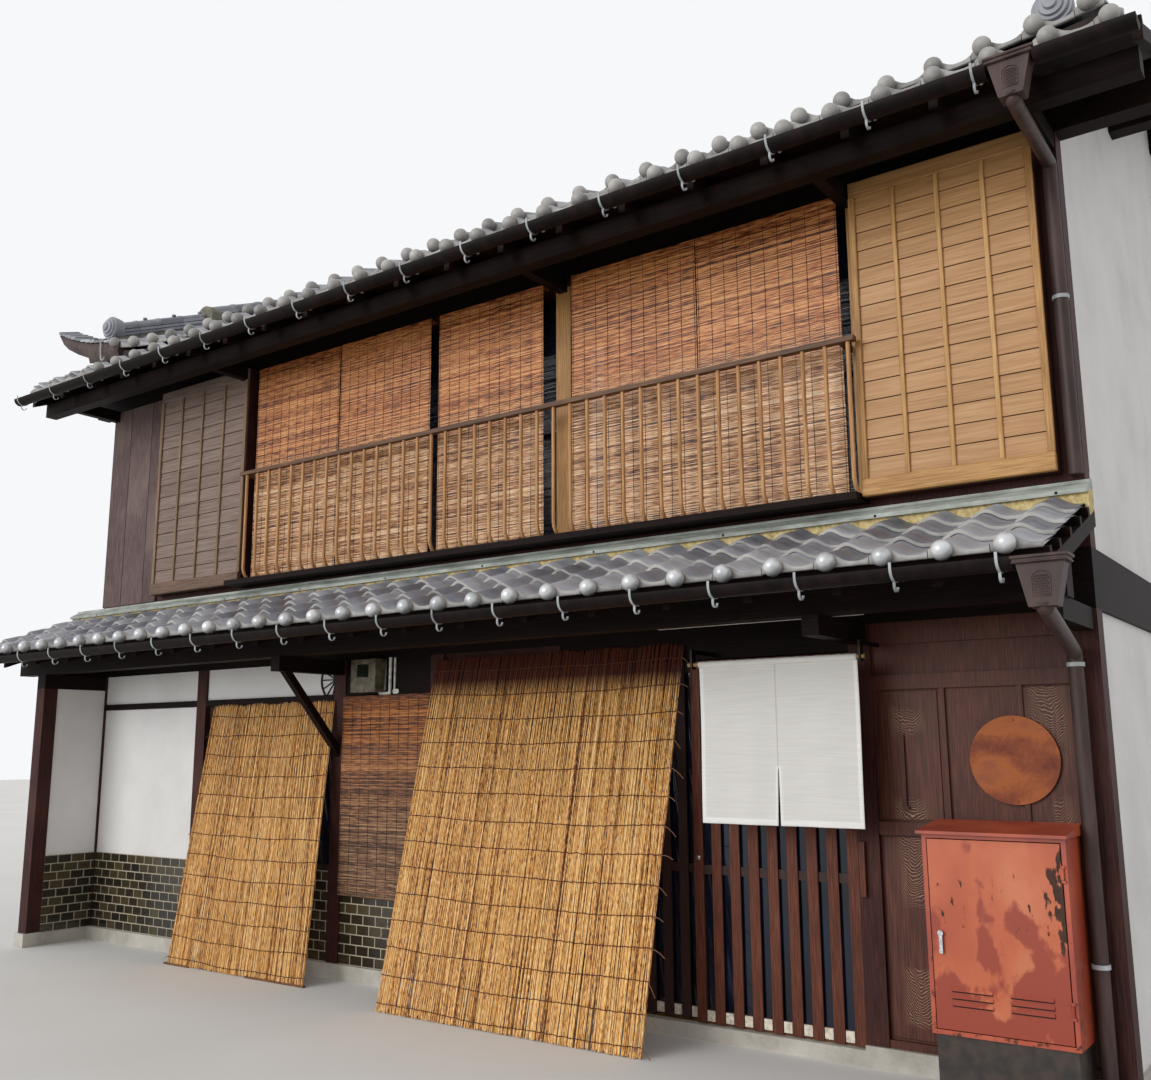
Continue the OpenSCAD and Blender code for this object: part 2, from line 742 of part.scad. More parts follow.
plate_drop = 22;
plate_t = 16;
mortar_w = 110;
pent_nose = pent_out - plate_t;
pent_gauge = (pent_nose - mortar_w) / cos(pent_a) / pent_courses;
function tail_y(i, length) = -pent_nose + i * pent_gauge * cos(pent_a) + length * cos(pent_a - tilt(pent_gauge));
module pent_boarding() {
    y0 = -pent_out + 60;
    last = pent_courses - 1;
    battens = concat([[y0, nose_up(pent_gauge) * 0.5]], [for (i = [0:last])
        [tail_y(i, pent_gauge + (i == last ? 0 : lap)) - 41 * cos(pent_a), (i == last ? lap : 0) * sin(tilt(pent_gauge)) + 0.7]]);
    color("#33201a") boarding(left - pent_left + 20, right + pent_right - 20, y0, 0,
        pent_z(y0) - bed_t, pent_z(0) - bed_t, battens);
}

// Section of tiles between two places along a course, with its underside at the tiles' bed
function wave_xs(x0, x1) = concat([x0], [for (i = [ceil(x0 * wave_steps / tile_pitch + 0.2)
    :floor(x1 * wave_steps / tile_pitch - 0.2)]) i * tile_pitch / wave_steps], [x1]);
function wave(xs, t) = concat([for (x = xs) [x, roll(x) + t]], [for (i = [len(xs) - 1:-1:0]) [xs[i], roll(xs[i])]]);

// A sheet of tiles from x0 to x1, one course deep
module course(x0, x1, length) {
    rotate([90, 0, 0]) mirror([0, 0, 1]) linear_extrude(length) polygon(wave(wave_xs(x0, x1), tile_t));
}

// The fronts of a row of eave tiles, their backs at y = 0: plates with a straight lower edge and
// a ball on each at its roll. The row may rise, as the swept corner does, from its place level.
lip = cap_r + 3;
joint = 1;
module eave_fronts(first, n, level = 0) {
    for (i = [first:n]) {
        x0 = i == 0 ? -lip : (i - 1) * tile_pitch + lip + joint;
        xs = wave_xs(x0, i * tile_pitch + lip);
        top = [for (x = xs) [x, roll(x) + tile_t + rise_at(level, x)]];
        foot = [for (x = [xs[len(xs) - 1], x0]) [x, rise_at(level, x) - plate_drop]];
        rotate([90, 0, 0]) linear_extrude(plate_t) polygon(concat(top, foot));
        translate([i * tile_pitch, -plate_t, rise_at(level, i * tile_pitch) + tile_t + tile_roll - cap_r]) ball();
    }
}

function rise_at(level, x) = level == 0 ? 0 : sweep_up(level + x);

// A ball cut flat where the plate's back is
module ball() {
    rotate([90, 0, 0]) rotate_extrude() intersection() {
        circle(r = cap_r);
        translate([0, 1 - plate_t]) square([cap_r, cap_r + plate_t]);
    }
}

pent_roof_w = frontage + pent_left + pent_right;
pent_n = floor((pent_roof_w - 10) / tile_pitch);
pent_x0 = left - pent_left + (pent_roof_w - pent_n * tile_pitch) / 2;
module laid_courses(x0, n, count, out, z0, a, gauge, last) {
    for (i = [0:count - 1]) {
        length = i == count - 1 ? last : gauge + lap;
        translate([x0, -out + i * gauge * cos(a), z0 + i * gauge * sin(a)]) rotate([a, 0, 0])
            translate([0, 0, nose_up(gauge)]) rotate([-tilt(gauge), 0, 0]) {
                course(0, n * tile_pitch, length);
                if (i == 0) translate([0, -fit, 0]) eave_fronts(0, n);
            }
    }
}

// Stepped end tile with a round top, which closes the pent roof's upper edge at the left
module pent_end_tile() {
    y = -mortar_w / 2 - 6;
    z = pent_z(y) + 88;
    x = pent_x0 - 34;
    translate([x, y, z]) rotate([0, 90, 0]) cylinder(h = 34 - fit, r = 62);
    box(x, pent_x0 - fit, -mortar_w - 10, -2, z - 60, z - 10);
    translate([x - 14, y, z]) rotate([0, 90, 0]) cylinder(h = 16, r = 34);
}

module pent_tiles() {
    color("#5c6066") {
        laid_courses(pent_x0, pent_n, pent_courses, pent_nose, pent_z(-pent_nose), pent_a, pent_gauge, pent_gauge);
        pent_end_tile();
    }
}

module pent_mortar() {
    y0 = -mortar_w + 2;
    color("#cdbf95") prism_x(pent_x0, right + pent_right - 20, [[y0, pent_z(y0) - bed_t + fit],
        [0, pent_z(0) - bed_t + fit], [0, pent_z(0) + 70], [y0, pent_z(y0) + 80]]);
}

module pent_flashing() {
    z = pent_z(0) + 70;
    y0 = -mortar_w + 2;
    z0 = pent_z(y0) + 80;
    color("#6f8f80") prism_x(pent_x0, right + pent_right - 20, [[0, z], [y0, z0], [y0 - 20, z0 - 8],
        [y0 - 20, z0 + 14], [-60, z + 22], [-60, z + 36], [0, z + 48]]);
}

gutter_r = 55;
gutter_t = 4;
hook_w = 12;
hook_t = 4;
module half_pipe(r) {
    difference() {
        circle(r = r);
        circle(r = r - gutter_t);
        translate([-2 * r, 0]) square([4 * r, 2 * r]);
    }
}

// A half round gutter with closed ends
module gutter(x0, x1, y, z) {
    translate([x0, y, z]) rotate([90, 0, 90]) linear_extrude(x1 - x0) half_pipe(gutter_r);
    for (x = [x0, x1 - gutter_t]) translate([x, y, z]) rotate([90, 0, 90]) linear_extrude(gutter_t)
        difference() {
            circle(r = gutter_r - 1);
            translate([-2 * gutter_r, 0]) square([4 * gutter_r, 2 * gutter_r]);
        }
}

// Hooks along a gutter, bent from flat bar: a half ring under it, held back to the rafters' ends,
// that drops from its front below the gutter and ends in a curl
curl_r = 24;
module hook_outline() {
    ring_r = gutter_r + fit + hook_t;
    drop_x = -ring_r * cos(75);
    drop_z = -ring_r * sin(75) - 18;
    difference() {
        circle(r = ring_r);
        circle(r = gutter_r + fit);
        translate([-2 * ring_r, 0]) square([4 * ring_r, 2 * ring_r]);
    }
    translate([-ring_r, -1]) square([hook_t, 24]);
    translate([drop_x, drop_z]) square([hook_t, -drop_z - gutter_r - fit + 1]);
    translate([drop_x + curl_r, drop_z]) difference() {
        circle(r = curl_r);
        circle(r = curl_r - hook_t);
        translate([-2 * curl_r, 0]) square([4 * curl_r, 2 * curl_r]);
    }
}

module hooks(x0, x1, y, z, back_y, back_z, pitch) {
    n = round((x1 - x0) / pitch);
    step = (x1 - x0 - 2 * hook_inset) / n;
    for (i = [0:n]) translate([x0 + hook_inset + i * step - hook_w / 2, 0, 0]) {
        translate([0, y, z]) rotate([90, 0, 90]) linear_extrude(hook_w) hook_outline();
        prism_x(0, hook_w, [[y + gutter_r + 1, z - 4], [y + gutter_r + hook_t, z - 12],
            [back_y - fit, back_z - 14], [back_y - fit, back_z]]);
    }
}
hook_inset = 60;

pent_gutter_y = -pent_out - 40;
pent_gutter_z = pent_cap_z - 66;
module pent_gutter() {
    color("#3a2622") gutter(pent_gutter_x[0], pent_gutter_x[1], pent_gutter_y, pent_gutter_z);
}

pipe_r = 35;
head_w = 210;
head_d = 108;
pent_head_x = right + 15;
pent_gutter_x = [left - pent_left + 20, pent_head_x - head_w / 2];
pipe_x = right - 98;
pipe_y = -75;

// A tapered rain head, from its rim down to the pipe
module rain_head(x, y, z) {
    translate([x - head_w / 2, y - head_d / 2, z]) cube([head_w, head_d, 30]);
    hull() {
        translate([x - head_w / 2 + 12, y - head_d / 2 + 12, z - 10]) cube([head_w - 24, head_d - 24, 10]);
        translate([x - 55, y - 45, z - 180]) cube([110, 90, 10]);
    }
}

module bent_pipe(top, bottom) {
    hull() {
        translate(top) sphere(r = pipe_r);
        translate(bottom) sphere(r = pipe_r);
    }
}

module pent_downpipe() {
    elbow_z = storey_z - 215;
    color("#4a2f28") {
        rain_head(pent_head_x, pent_gutter_y, pent_gutter_z - 32);
        bent_pipe([pent_head_x, pent_gutter_y, pent_gutter_z - 215], [pipe_x, pipe_y, elbow_z]);
        translate([pipe_x, pipe_y, 0]) cylinder(h = elbow_z, r = pipe_r);
    }
}

// A band round a pipe with a pin back to the wall behind it
module pipe_clamp(x, y, z, wall_y) {
    translate([x, y, z]) difference() {
        cylinder(h = 20, r = pipe_r + 6);
        translate([0, 0, -1]) cylinder(h = 22, r = pipe_r + fit);
    }
    if (wall_y - y > pipe_r + 8) translate([x, y + pipe_r + 3, z + 10]) rotate([-90, 0, 0])
        cylinder(h = wall_y - y - pipe_r - 3 - fit, r = 5);
}

module hooks_and_clamps() {
    pent_back = -pent_out + 60;
    main_back = -main_out + 60;
    color("silver") {
        hooks(pent_gutter_x[0], pent_gutter_x[1], pent_gutter_y, pent_gutter_z, pent_back,
            pent_z(pent_back) - bed_t - board_t - 10, 455);
        hooks(main_gutter_x[0], main_gutter_x[1], main_gutter_y, main_gutter_z, main_back,
            main_z(main_back) - bed_t - board_t - 10, 2 * tile_pitch);
        translate([0, depth, 0]) mirror([0, 1, 0]) hooks(main_gutter_x[0], main_gutter_x[1], main_gutter_y,
            main_gutter_z, main_back, main_z(main_back) - bed_t - board_t - 10, 4 * tile_pitch);
        for (z = [600, 1960]) pipe_clamp(pipe_x, pipe_y, z, 0);
        pipe_clamp(main_pipe_x, main_pipe_y, main_pipe_foot + 900, 0);
    }
}

// Upper front: posts, sill band and mullions in one frame below the plate
module upper_front_frame() {
    color("#33201a") {
        box(left, right, 0, post_w - 10, storey_top, upper_sill_z);
        for (x = [left, window_left - post_w, window_right, right - post_w]) {
            box(x, x + post_w, 0, post_w, upper_sill_z, plate_z);
        }
        for (m = mullions) {
            x = window_left + m[0] * window_w - m[1] / 2;
            box(x, x + m[1], 0, post_w, upper_sill_z, plate_z);
        }
        box(window_left, window_right, 0, post_w, plate_z - 60, plate_z);
        box(window_left, window_right, -handrail_out - 10, 0, upper_sill_z - 40, upper_sill_z);
    }
    color("#b07a3c") for (x = [left + board_wall_w, window_right]) for (s = [[-46, -26], [-22, -2]]) {
        box(x + s[0], x + s[1], -26, 0, upper_sill_z, plate_z - 100);
    }
}

module upper_board_wall() {
    color("#4b3326") box(left + post_w, window_left - post_w, 30, 30 + wall_t - 20, upper_sill_z, plate_z);
}

module shutter_box(x0, x1) {
    z0 = upper_sill_z - 20;
    z1 = plate_z;
    rail = 90;
    box(x0, x1, -box_out + 20, 0, z0, z1);
    box(x0, x1, -box_out - 10, -box_out + 20, z0, z0 + rail);
    box(x0, x1, -box_out, -box_out + 20, z1 - rail, z1);
    for (i = [0:4]) {
        x = x0 + i * (x1 - x0 - 34) / 4;
        box(x, x + 34, -box_out, -box_out + 20, z0 + rail, z1 - rail);
    }
}

module left_shutter_box() {
    color("#6b5a48") shutter_box(left + board_wall_w, window_left);
}

module right_shutter_box() {
    color("#b07a3c") shutter_box(window_right, window_right + right_box_w);
}

handrail_x0 = window_left + 205;
handrail_x1 = window_right - 15;
// The handrail's returns to the wall pass just outside the first and last blind
return_w = 30;
return_x = [window_left + blind_spans[0][0] * window_w - return_w - 4,
    window_left + (blind_spans[4][0] + blind_spans[4][1]) * window_w + 8];
handrail_z = upper_sill_z + handrail_up;
foot_bend_r = 110;
foot_angle = 50;
foot_rise = foot_bend_r * sin(foot_angle) + 10;
module handrail() {
    n = floor((handrail_x1 - handrail_x0) / baluster_pitch);
    step = (handrail_x1 - handrail_x0) / n;
    y = -handrail_out + baluster_r;
    color("#7a5230") {
        box(return_x[0], handrail_x1 + 40, -handrail_out - 12, -handrail_out + 38, handrail_z - 28, handrail_z);
        for (x = return_x) box(x, x + return_w, -handrail_out + 38, 0, handrail_z - 28, handrail_z);
        for (i = [0:n]) translate([handrail_x0 + i * step, y, upper_sill_z]) {
            translate([0, 0, foot_rise]) cylinder(h = handrail_z - 28 - upper_sill_z - foot_rise, r = baluster_r);
            translate([0, foot_bend_r, foot_rise]) bend(foot_bend_r, baluster_r, foot_angle);
            translate([0, foot_bend_r * (1 - cos(foot_angle)), 0]) cylinder(h = 14, r = baluster_r + 4);
        }
    }
}

module upper_blinds() {
    color("#9a6233") for (b = blind_spans) {
        x0 = window_left + b[0] * window_w;
        box(x0, x0 + b[1] * window_w, -70, -62, upper_sill_z + fit, plate_z - 30);
        box(x0, x0 + b[1] * window_w, -62, 0, plate_z - 60, plate_z - 35);
    }
}

module upper_windows() {
    color("#4a3024") {
        for (bay = rear_bays) {
            window_frame(bay[0] + 400, bay[1] - 400, depth - 90, upper_sill_z, upper_head_z - 250, sash);
        }
    }
}

module upper_glass() {
    color("lightblue", 0.4) {
        box(window_left, window_right, post_w, post_w + 6, upper_sill_z, plate_z);
        for (bay = rear_bays) {
            window_panes(bay[0] + 400, bay[1] - 400, depth - 90, upper_sill_z, upper_head_z - 250, sash);
        }
    }
}

outrigger_y = -530;
outrigger_w = 65;
module main_purlins() {
    color("#33201a") {
        plates();
        roof_purlins();
        x0 = left - main_left + 30;
        x1 = right + main_right - 60;
        top = under_main(outrigger_y);
        for (side = [0, 1]) translate([0, side * depth, 0]) mirror([0, side, 0]) {
            box(x0, x1, outrigger_y, outrigger_y + 100, top - 120, top);
            for (x = [left + 15, window_left + 5, window_left + 0.611 * window_w - 32, window_right - 70, right - 70]) {
                box(x, x + outrigger_w, outrigger_y + 100, 0, top - 110, top - 10);
            }
        }
    }
}

module main_boarding() {
    y0 = -main_out + 60;
    y1 = depth / 2 - fit;
    battens = [for (i = [0:main_battens - 1]) [y0 + i * (y1 - y0 - 60) / (main_battens - 1), 0]];
    color("#33201a") for (side = [0, 1]) translate([0, side * depth, 0]) mirror([0, side, 0])
        boarding(left - main_left + 20, right + main_right - 20, y0, y1, main_z(y0) - bed_t, main_z(y1) - bed_t,
            battens);
}
main_battens = 7;

main_roof_w = frontage + main_left + main_right;
main_n = floor((main_roof_w - 10) / tile_pitch);
main_x0 = left - main_left + (main_roof_w - main_n * tile_pitch) / 2;

module main_eave_course() {
    color("#5c6066") for (side = [0, 1]) translate([0, side * depth, 0]) mirror([0, side, 0]) {
        y = -main_out + plate_t;
        back = (row_step - plate_t - cap_r - 2) / cos(main_a);
        translate([main_x0, y, main_z(y)]) rotate([main_a, 0, 0]) translate([0, 0, fit]) {
            course(0, main_n * tile_pitch, back);
            translate([0, -fit, 0]) eave_fronts(0, main_n);
            box(0, main_n * tile_pitch, back + fit, (row_step - plate_t) / cos(main_a) - fit, 0, tile_t - 4);
        }
    }
}

// The main field of tiles: rolls and troughs on a bed that rises towards the left corner.
// Half a pitch of plain verge tile lies outside it at the left.
field_up = 45;
field_lift = 1;
field_y0 = -main_out + row_step + plate_t;
field_crest = field_lift + field_up + tile_t + tile_roll;
field_left = main_x0 + tile_pitch / 2;
function field_top(x) = field_lift + tile_t + roll(x - main_x0) + (x > field_left ? field_up + sweep_up(x) : 0);
function field_xs() = [for (i = [0:main_n * wave_steps]) each i == wave_steps / 2 ? [field_left, field_left + 1]
    : [main_x0 + i * tile_pitch / wave_steps]];

// A solid whose sections across the house repeat along it: each section is a list of [y, z]
module lofted(xs, sections) {
    n = len(xs);
    m = len(sections[0]);
    points = [for (i = [0:n - 1]) each [for (p = sections[i]) [xs[i], p[0], p[1]]]];
    sides = [for (i = [0:n - 2]) for (j = [0:m - 1]) [m * i + (j + 1) % m, m * i + j,
        m * (i + 1) + j, m * (i + 1) + (j + 1) % m]];
    polyhedron(points, concat([[for (j = [0:m - 1]) j]], sides, [[for (j = [m - 1:-1:0]) m * (n - 1) + j]]));
}

module roof_field() {
    xs = field_xs();
    y0 = field_y0;
    y1 = depth / 2 - fit;
    lofted(xs, [for (x = xs) [[y0, main_z(y0) + field_lift], [y1, main_z(y1) + field_lift],
        [y1, main_z(y1) + field_top(x)], [y0, main_z(y0) + field_top(x)]]]);
}

module main_roof_tiles() {
    color("#5c6066") for (side = [0, 1]) translate([0, side * depth, 0]) mirror([0, side, 0]) {
        roof_field();
        translate([main_x0, field_y0 - fit, main_z(field_y0) + field_lift + field_up])
            eave_fronts(1, main_n, level = main_x0);
    }
}

main_gutter_y = -main_out - 60;
main_gutter_z = main_cap_z - 95;
main_head_x = right - 10;
main_gutter_x = [left - main_left + 20, main_head_x - head_w / 2];
module main_gutter() {
    color("#3a2622") {
        gutter(main_gutter_x[0], main_gutter_x[1], main_gutter_y, main_gutter_z);
        gutter(main_head_x + head_w / 2, right + main_right - 20, main_gutter_y, main_gutter_z);
        translate([0, depth, 0]) mirror([0, 1, 0])
            gutter(left - main_left + 20, right + main_right - 20, main_gutter_y, main_gutter_z);
    }
}

main_pipe_x = right - 30;
main_pipe_y = -pipe_r - 6 - fit;
main_pipe_foot = pent_z(0) + 140;
module main_downpipe() {
    elbow_z = plate_z - 190;
    color("#4a2f28") {
        rain_head(main_head_x, main_gutter_y, main_gutter_z - 10);
        bent_pipe([main_head_x, main_gutter_y, main_gutter_z - 200], [main_pipe_x, main_pipe_y, elbow_z]);
        translate([main_pipe_x, main_pipe_y, main_pipe_foot]) cylinder(h = elbow_z - main_pipe_foot, r = pipe_r);
    }
}

// Ridges: stepped layers of flat tile under a round one. The main ridge follows the swept
// corner, and one ridge runs down each slope near each verge to a lower roll with a drum end.
ridge_w = 300;
ridge_h = 230;
drop_ridge_w = 210;
drop_ridge_h = 210;
low_roll_w = 160;
low_roll_h = 150;
low_roll_y = -270;
drop_end_y = 770;
drop_inset = 315;
main_ridge_x = [field_left + 60, main_x0 + main_n * tile_pitch - 60];
ridge_fronts = [field_left + drop_inset, main_x0 + main_n * tile_pitch - drop_inset];

// Half of a ridge's section from its foot up, as [distance from the middle, height]
function ridge_half(w, h) = [[w / 2, 0.18 * h], [w * 0.46, 0.2 * h], [w * 0.46, 0.36 * h], [w * 0.42, 0.38 * h],
    [w * 0.42, 0.54 * h], [w * 0.3, 0.56 * h], [w * 0.28, 0.78 * h], [w * 0.16, 0.95 * h]];
function ridge_section(w, h) = concat(ridge_half(w, h), [[0, h]],
    [for (i = [7:-1:0]) [-ridge_half(w, h)[i][0], ridge_half(w, h)[i][1]]]);

module main_ridge() {
    x0 = main_ridge_x[0];
    xs = concat([for (i = [0:12]) x0 + i * (left + sweep_w - x0) / 12], [main_ridge_x[1]]);
    base = main_z(depth / 2) + field_crest + fit;
    drop = ridge_w / 2 * main_rise;
    section = ridge_section(ridge_w, ridge_h);
    lofted(xs, [for (x = xs) concat([[depth / 2 - ridge_w / 2, base - drop + sweep_up(x)],
        [depth / 2, base + sweep_up(x)], [depth / 2 + ridge_w / 2, base - drop + sweep_up(x)]],
        [for (p = section) [depth / 2 + p[0], base + sweep_up(x) + p[1]]])]);
}

// A ridge that runs down the slope from y1 to y0: layers of flat tile under a round one
module slope_ridge(x, y0, y1, w, h) {
    foot = max(sweep_up(x - w / 2), sweep_up(x + w / 2)) + field_crest + fit;
    for (layer = [[1, 0, 0.2], [0.92, 0.19, 0.38], [0.84, 0.37, 0.56], [0.6, 0.55, 0.78], [0.34, 0.77, 1]]) {
        half = w * layer[0] / 2;
        low = foot + layer[1] * h;
        high = foot + layer[2] * h;
        prism_x(x - half, x + half, [[y0, main_z(y0) + low], [y1, main_z(y1) + low], [y1, main_z(y1) + high],
            [y0, main_z(y0) + high]]);
    }
}

module drum_end(x, y, r) {
    z = main_z(y) + field_crest + sweep_up(x) + r + 14;
    for (ring = [[r, 30], [0.86 * r, 44], [0.62 * r, 54], [0.3 * r, 66]])
        translate([x, y - fit, z]) rotate([90, 0, 0]) cylinder(h = ring[1], r = ring[0]);
}

end_tile_t = 55;
module drop_ridge(x) {
    end_y = drop_end_y - end_tile_t;
    slope_ridge(x, low_roll_y, end_y - fit, low_roll_w, low_roll_h);
    slope_ridge(x, drop_end_y + fit, depth / 2 - ridge_w / 2 - fit, drop_ridge_w, drop_ridge_h);
    drum_end(x, low_roll_y, 88);
    translate([x, drop_end_y, main_z(drop_end_y) + field_crest + sweep_up(x) + 145]) rotate([90, 0, 0])
        cylinder(h = end_tile_t, r = 125);
    for (share = [0.2, 0.5, 0.8]) {
        y = low_roll_y + share * (end_y - low_roll_y);
        translate([x, y, main_z(y + 14) + field_crest + sweep_up(x) + low_roll_h + 2 * fit]) cylinder(h = 16, r = 13);
    }
}

module ridges() {
    color("#6a6a66") {
        main_ridge();
        for (side = [0, 1]) translate([0, side * depth, 0]) mirror([0, side, 0])
            for (x = ridge_fronts) drop_ridge(x);
        for (x = [main_ridge_x[0] - 45 - fit, main_ridge_x[1] + fit]) {
            z = main_z(depth / 2) + field_crest + sweep_up(x) + 175;
            translate([x, depth / 2, z]) rotate([0, 90, 0]) cylinder(h = 45, r = 165);
        }
    }
}

foundation();
ground_floor();
upper_floor();
ground_posts();
storey_beams();
front_walls();
front_rails();
wainscot();
ground_windows();
ground_glass();
wing_wall();
left_wall_ground();
left_wall_upper();
party_wall();
rear_walls();
door_frame();
left_leaf();
left_leaf_glass();
right_leaf();
right_leaf_glass();
right_bay_panelling();
iron_disc();
cabinet_base();
cabinet_body();
cabinet_lid();
cabinet_door();
cabinet_handle();
noren();
noren_pole();
noren_brackets();
small_reed_screen();
large_reed_screen();
ground_blind();
meter_box();
lamp();
pent_eave_frame();
pent_boarding();
pent_tiles();
pent_mortar();
pent_flashing();
pent_gutter();
pent_downpipe();
upper_front_frame();
upper_board_wall();
left_shutter_box();
right_shutter_box();
handrail();
upper_blinds();
upper_windows();
upper_glass();
main_purlins();
main_boarding();
main_eave_course();
main_roof_tiles();
main_gutter();
main_downpipe();
ridges();
hooks_and_clamps();
fan_grille();
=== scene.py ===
import math
import bmesh
import bpy
import numpy as np
from mathutils import Matrix, Vector


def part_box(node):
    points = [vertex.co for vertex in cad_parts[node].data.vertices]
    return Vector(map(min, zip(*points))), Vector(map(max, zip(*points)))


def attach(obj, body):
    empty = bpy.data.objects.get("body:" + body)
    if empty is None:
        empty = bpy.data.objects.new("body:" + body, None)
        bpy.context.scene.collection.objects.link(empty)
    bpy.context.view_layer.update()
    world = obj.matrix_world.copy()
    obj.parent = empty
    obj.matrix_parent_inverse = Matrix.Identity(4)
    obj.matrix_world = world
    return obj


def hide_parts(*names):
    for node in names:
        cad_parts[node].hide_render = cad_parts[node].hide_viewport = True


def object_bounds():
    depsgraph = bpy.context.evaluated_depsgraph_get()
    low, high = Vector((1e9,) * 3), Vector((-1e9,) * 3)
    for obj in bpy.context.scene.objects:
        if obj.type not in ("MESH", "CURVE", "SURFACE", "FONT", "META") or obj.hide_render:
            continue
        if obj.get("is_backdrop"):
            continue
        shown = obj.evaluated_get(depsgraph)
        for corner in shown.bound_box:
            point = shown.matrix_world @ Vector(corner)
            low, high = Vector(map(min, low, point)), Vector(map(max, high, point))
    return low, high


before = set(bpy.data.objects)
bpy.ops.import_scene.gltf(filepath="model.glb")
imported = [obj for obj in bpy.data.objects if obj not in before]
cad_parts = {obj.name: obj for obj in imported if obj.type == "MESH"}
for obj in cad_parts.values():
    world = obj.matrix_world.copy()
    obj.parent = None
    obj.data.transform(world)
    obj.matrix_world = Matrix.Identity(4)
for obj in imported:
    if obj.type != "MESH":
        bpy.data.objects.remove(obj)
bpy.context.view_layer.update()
chance = np.random.default_rng(11)


# Plinth, corner stone and the ground slab
# Cast concrete, trowelled smooth and gone grey: pale, matt, with damp stains near the ground.

def srgb(code):
    """Linear colour of an sRGB hex value."""
    parts = [int(code[i:i + 2], 16) / 255 for i in (0, 2, 4)]
    return tuple(c / 12.92 if c <= 0.04045 else ((c + 0.055) / 1.055) ** 2.4 for c in parts) + (1.0,)


def add(kind, *values, settings=(), stops=(), out=0, stretch=None, **inputs):
    """Adds one node to the material in hand; its kind may be followed by its operation. Values go to
    its inputs in order, or by name: numbers, sockets, "tone" for the piece's own tone, or "X" or "Z"
    for the place's. A texture lies on the place, which stretch scales along each axis."""
    kind, *mode = kind.split()
    made = tree.nodes.new("ShaderNode" + kind)
    for key, value in dict(settings).items():
        setattr(made, key, value)
    if mode:
        setattr(made, "blend_type" if kind == "MixRGB" else "operation", mode[0])
    if stretch:
        inputs = {"Vector": add("Mapping", place, Scale=stretch), "Scale": 1.0, **inputs}
    elif kind in ("TexNoise", "TexWave"):
        inputs["Vector"] = place
    if stops:
        ramp = made.color_ramp
        ramp.elements.remove(ramp.elements[1])
        ramp.elements[0].position, ramp.elements[0].color = stops[0][0], srgb(stops[0][1])
        for at, tint in stops[1:]:
            ramp.elements.new(at).color = srgb(tint)
    for key, value in [*enumerate(values), *inputs.items()]:
        socket = made.inputs[key.replace("_", " ") if isinstance(key, str) else key]
        if value == "tone":
            value = add("Attribute", settings={"attribute_name": "tone"}, out="Fac")
        elif isinstance(value, str):
            value = add("SeparateXYZ", place, out=value)
        if isinstance(value, bpy.types.NodeSocket):
            tree.links.new(value, socket)
        else:
            socket.default_value = value
    return made.outputs[out] if len(made.outputs) else made


def finish(name, roughness, metallic=0.0, **sockets):
    """Starts a material and takes it in hand: its tree, its shader and the place on the piece."""
    global tree, shader, place
    made = bpy.data.materials.new(name)
    made.use_nodes = True
    tree = made.node_tree
    shader = tree.nodes["Principled BSDF"]
    for key, value in {"Roughness": roughness, "Metallic": metallic, **sockets}.items():
        shader.inputs[key.replace("_", " ")].default_value = value
    place = add("TexCoord", out="Object")
    return made


def join(tint, relief=None, **sockets):
    """Links the colour, the relief as (strength, depth in metres, height) and other sockets."""
    if relief:
        sockets["Normal"] = add("Bump", *relief[:2], Height=relief[2])
    for key, value in {"Base Color": tint, **sockets}.items():
        tree.links.new(value, shader.inputs[key])


def dress(nodes, *materials):
    """Gives the frame pieces named their materials."""
    for node in nodes.split():
        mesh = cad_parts[node].data
        mesh.materials.clear()
        for each in materials:
            mesh.materials.append(each)


concrete = finish("trowelled_concrete", 0.88)
cloud = add("TexNoise", Scale=2.2, Detail=8.0, Roughness=0.62)
# Sand grains of 2 mm
sand = add("TexNoise", Scale=420.0, Detail=2.0)
tint = add("ValToRGB", cloud, stops=[(0.3, "8f8a80"), (0.5, "b3aea4"), (0.7, "c6c2b8")])
join(add("MixRGB OVERLAY", 0.35, tint, sand), (0.35, 0.001, sand))
dress("foundation ground_floor", concrete)


# Posts, beams and the timber frame
# Japanese cedar and pine, planed and stained near black-brown. The beams and rafters are darker still, as
# painted shade for the dark undersides of the eaves. The grain runs along each member, and rain has greyed
# the edges a little.

def timber(name, tints, along, roughness=0.62, streak=7.0, blotch=0.35, tone_spread=0.0, bump=0.5,
           wear=None, sheen=0.3):
    """Wood with its grain along that axis: streaks of some millimetres, slow blotches and fine pores."""
    global place
    wood = finish(name, roughness, Specular_IOR_Level=sheen)
    # The tone moves the pattern, so that no two boards are cut from the same place of the log
    apart = add("Math MULTIPLY", "tone", 23.0)
    place = add("VectorMath ADD", place, add("CombineXYZ", apart, apart, apart))
    scale = [1000.0 / streak * (0.035 if axis == along else 1.0) for axis in "xyz"]
    grain = add("TexNoise", stretch=scale, Detail=5.0, Roughness=0.65, Distortion=0.35)
    pores = add("TexNoise", stretch=scale, Detail=2.0, Scale=4.5)
    patch = add("TexNoise", Scale=1.9, Detail=4.0)
    level = add("Math ADD", add("Math MULTIPLY_ADD", patch, blotch, -blotch / 2), grain)
    if tone_spread:
        level = add("Math ADD", level, add("Math MULTIPLY_ADD", "tone", tone_spread, -tone_spread / 2))
    tint = add("ValToRGB", level, stops=list(zip((0.3, 0.5, 0.72), tints.split())))
    if wear:
        amount = add("ValToRGB", patch, stops=[(0.5, "000000"), (0.75, "a0a0a0")])
        tint = add("MixRGB", amount, tint, srgb(wear))
    join(tint, (bump, 0.0015, add("Math MULTIPLY_ADD", pores, 0.5, grain)))
    return wood


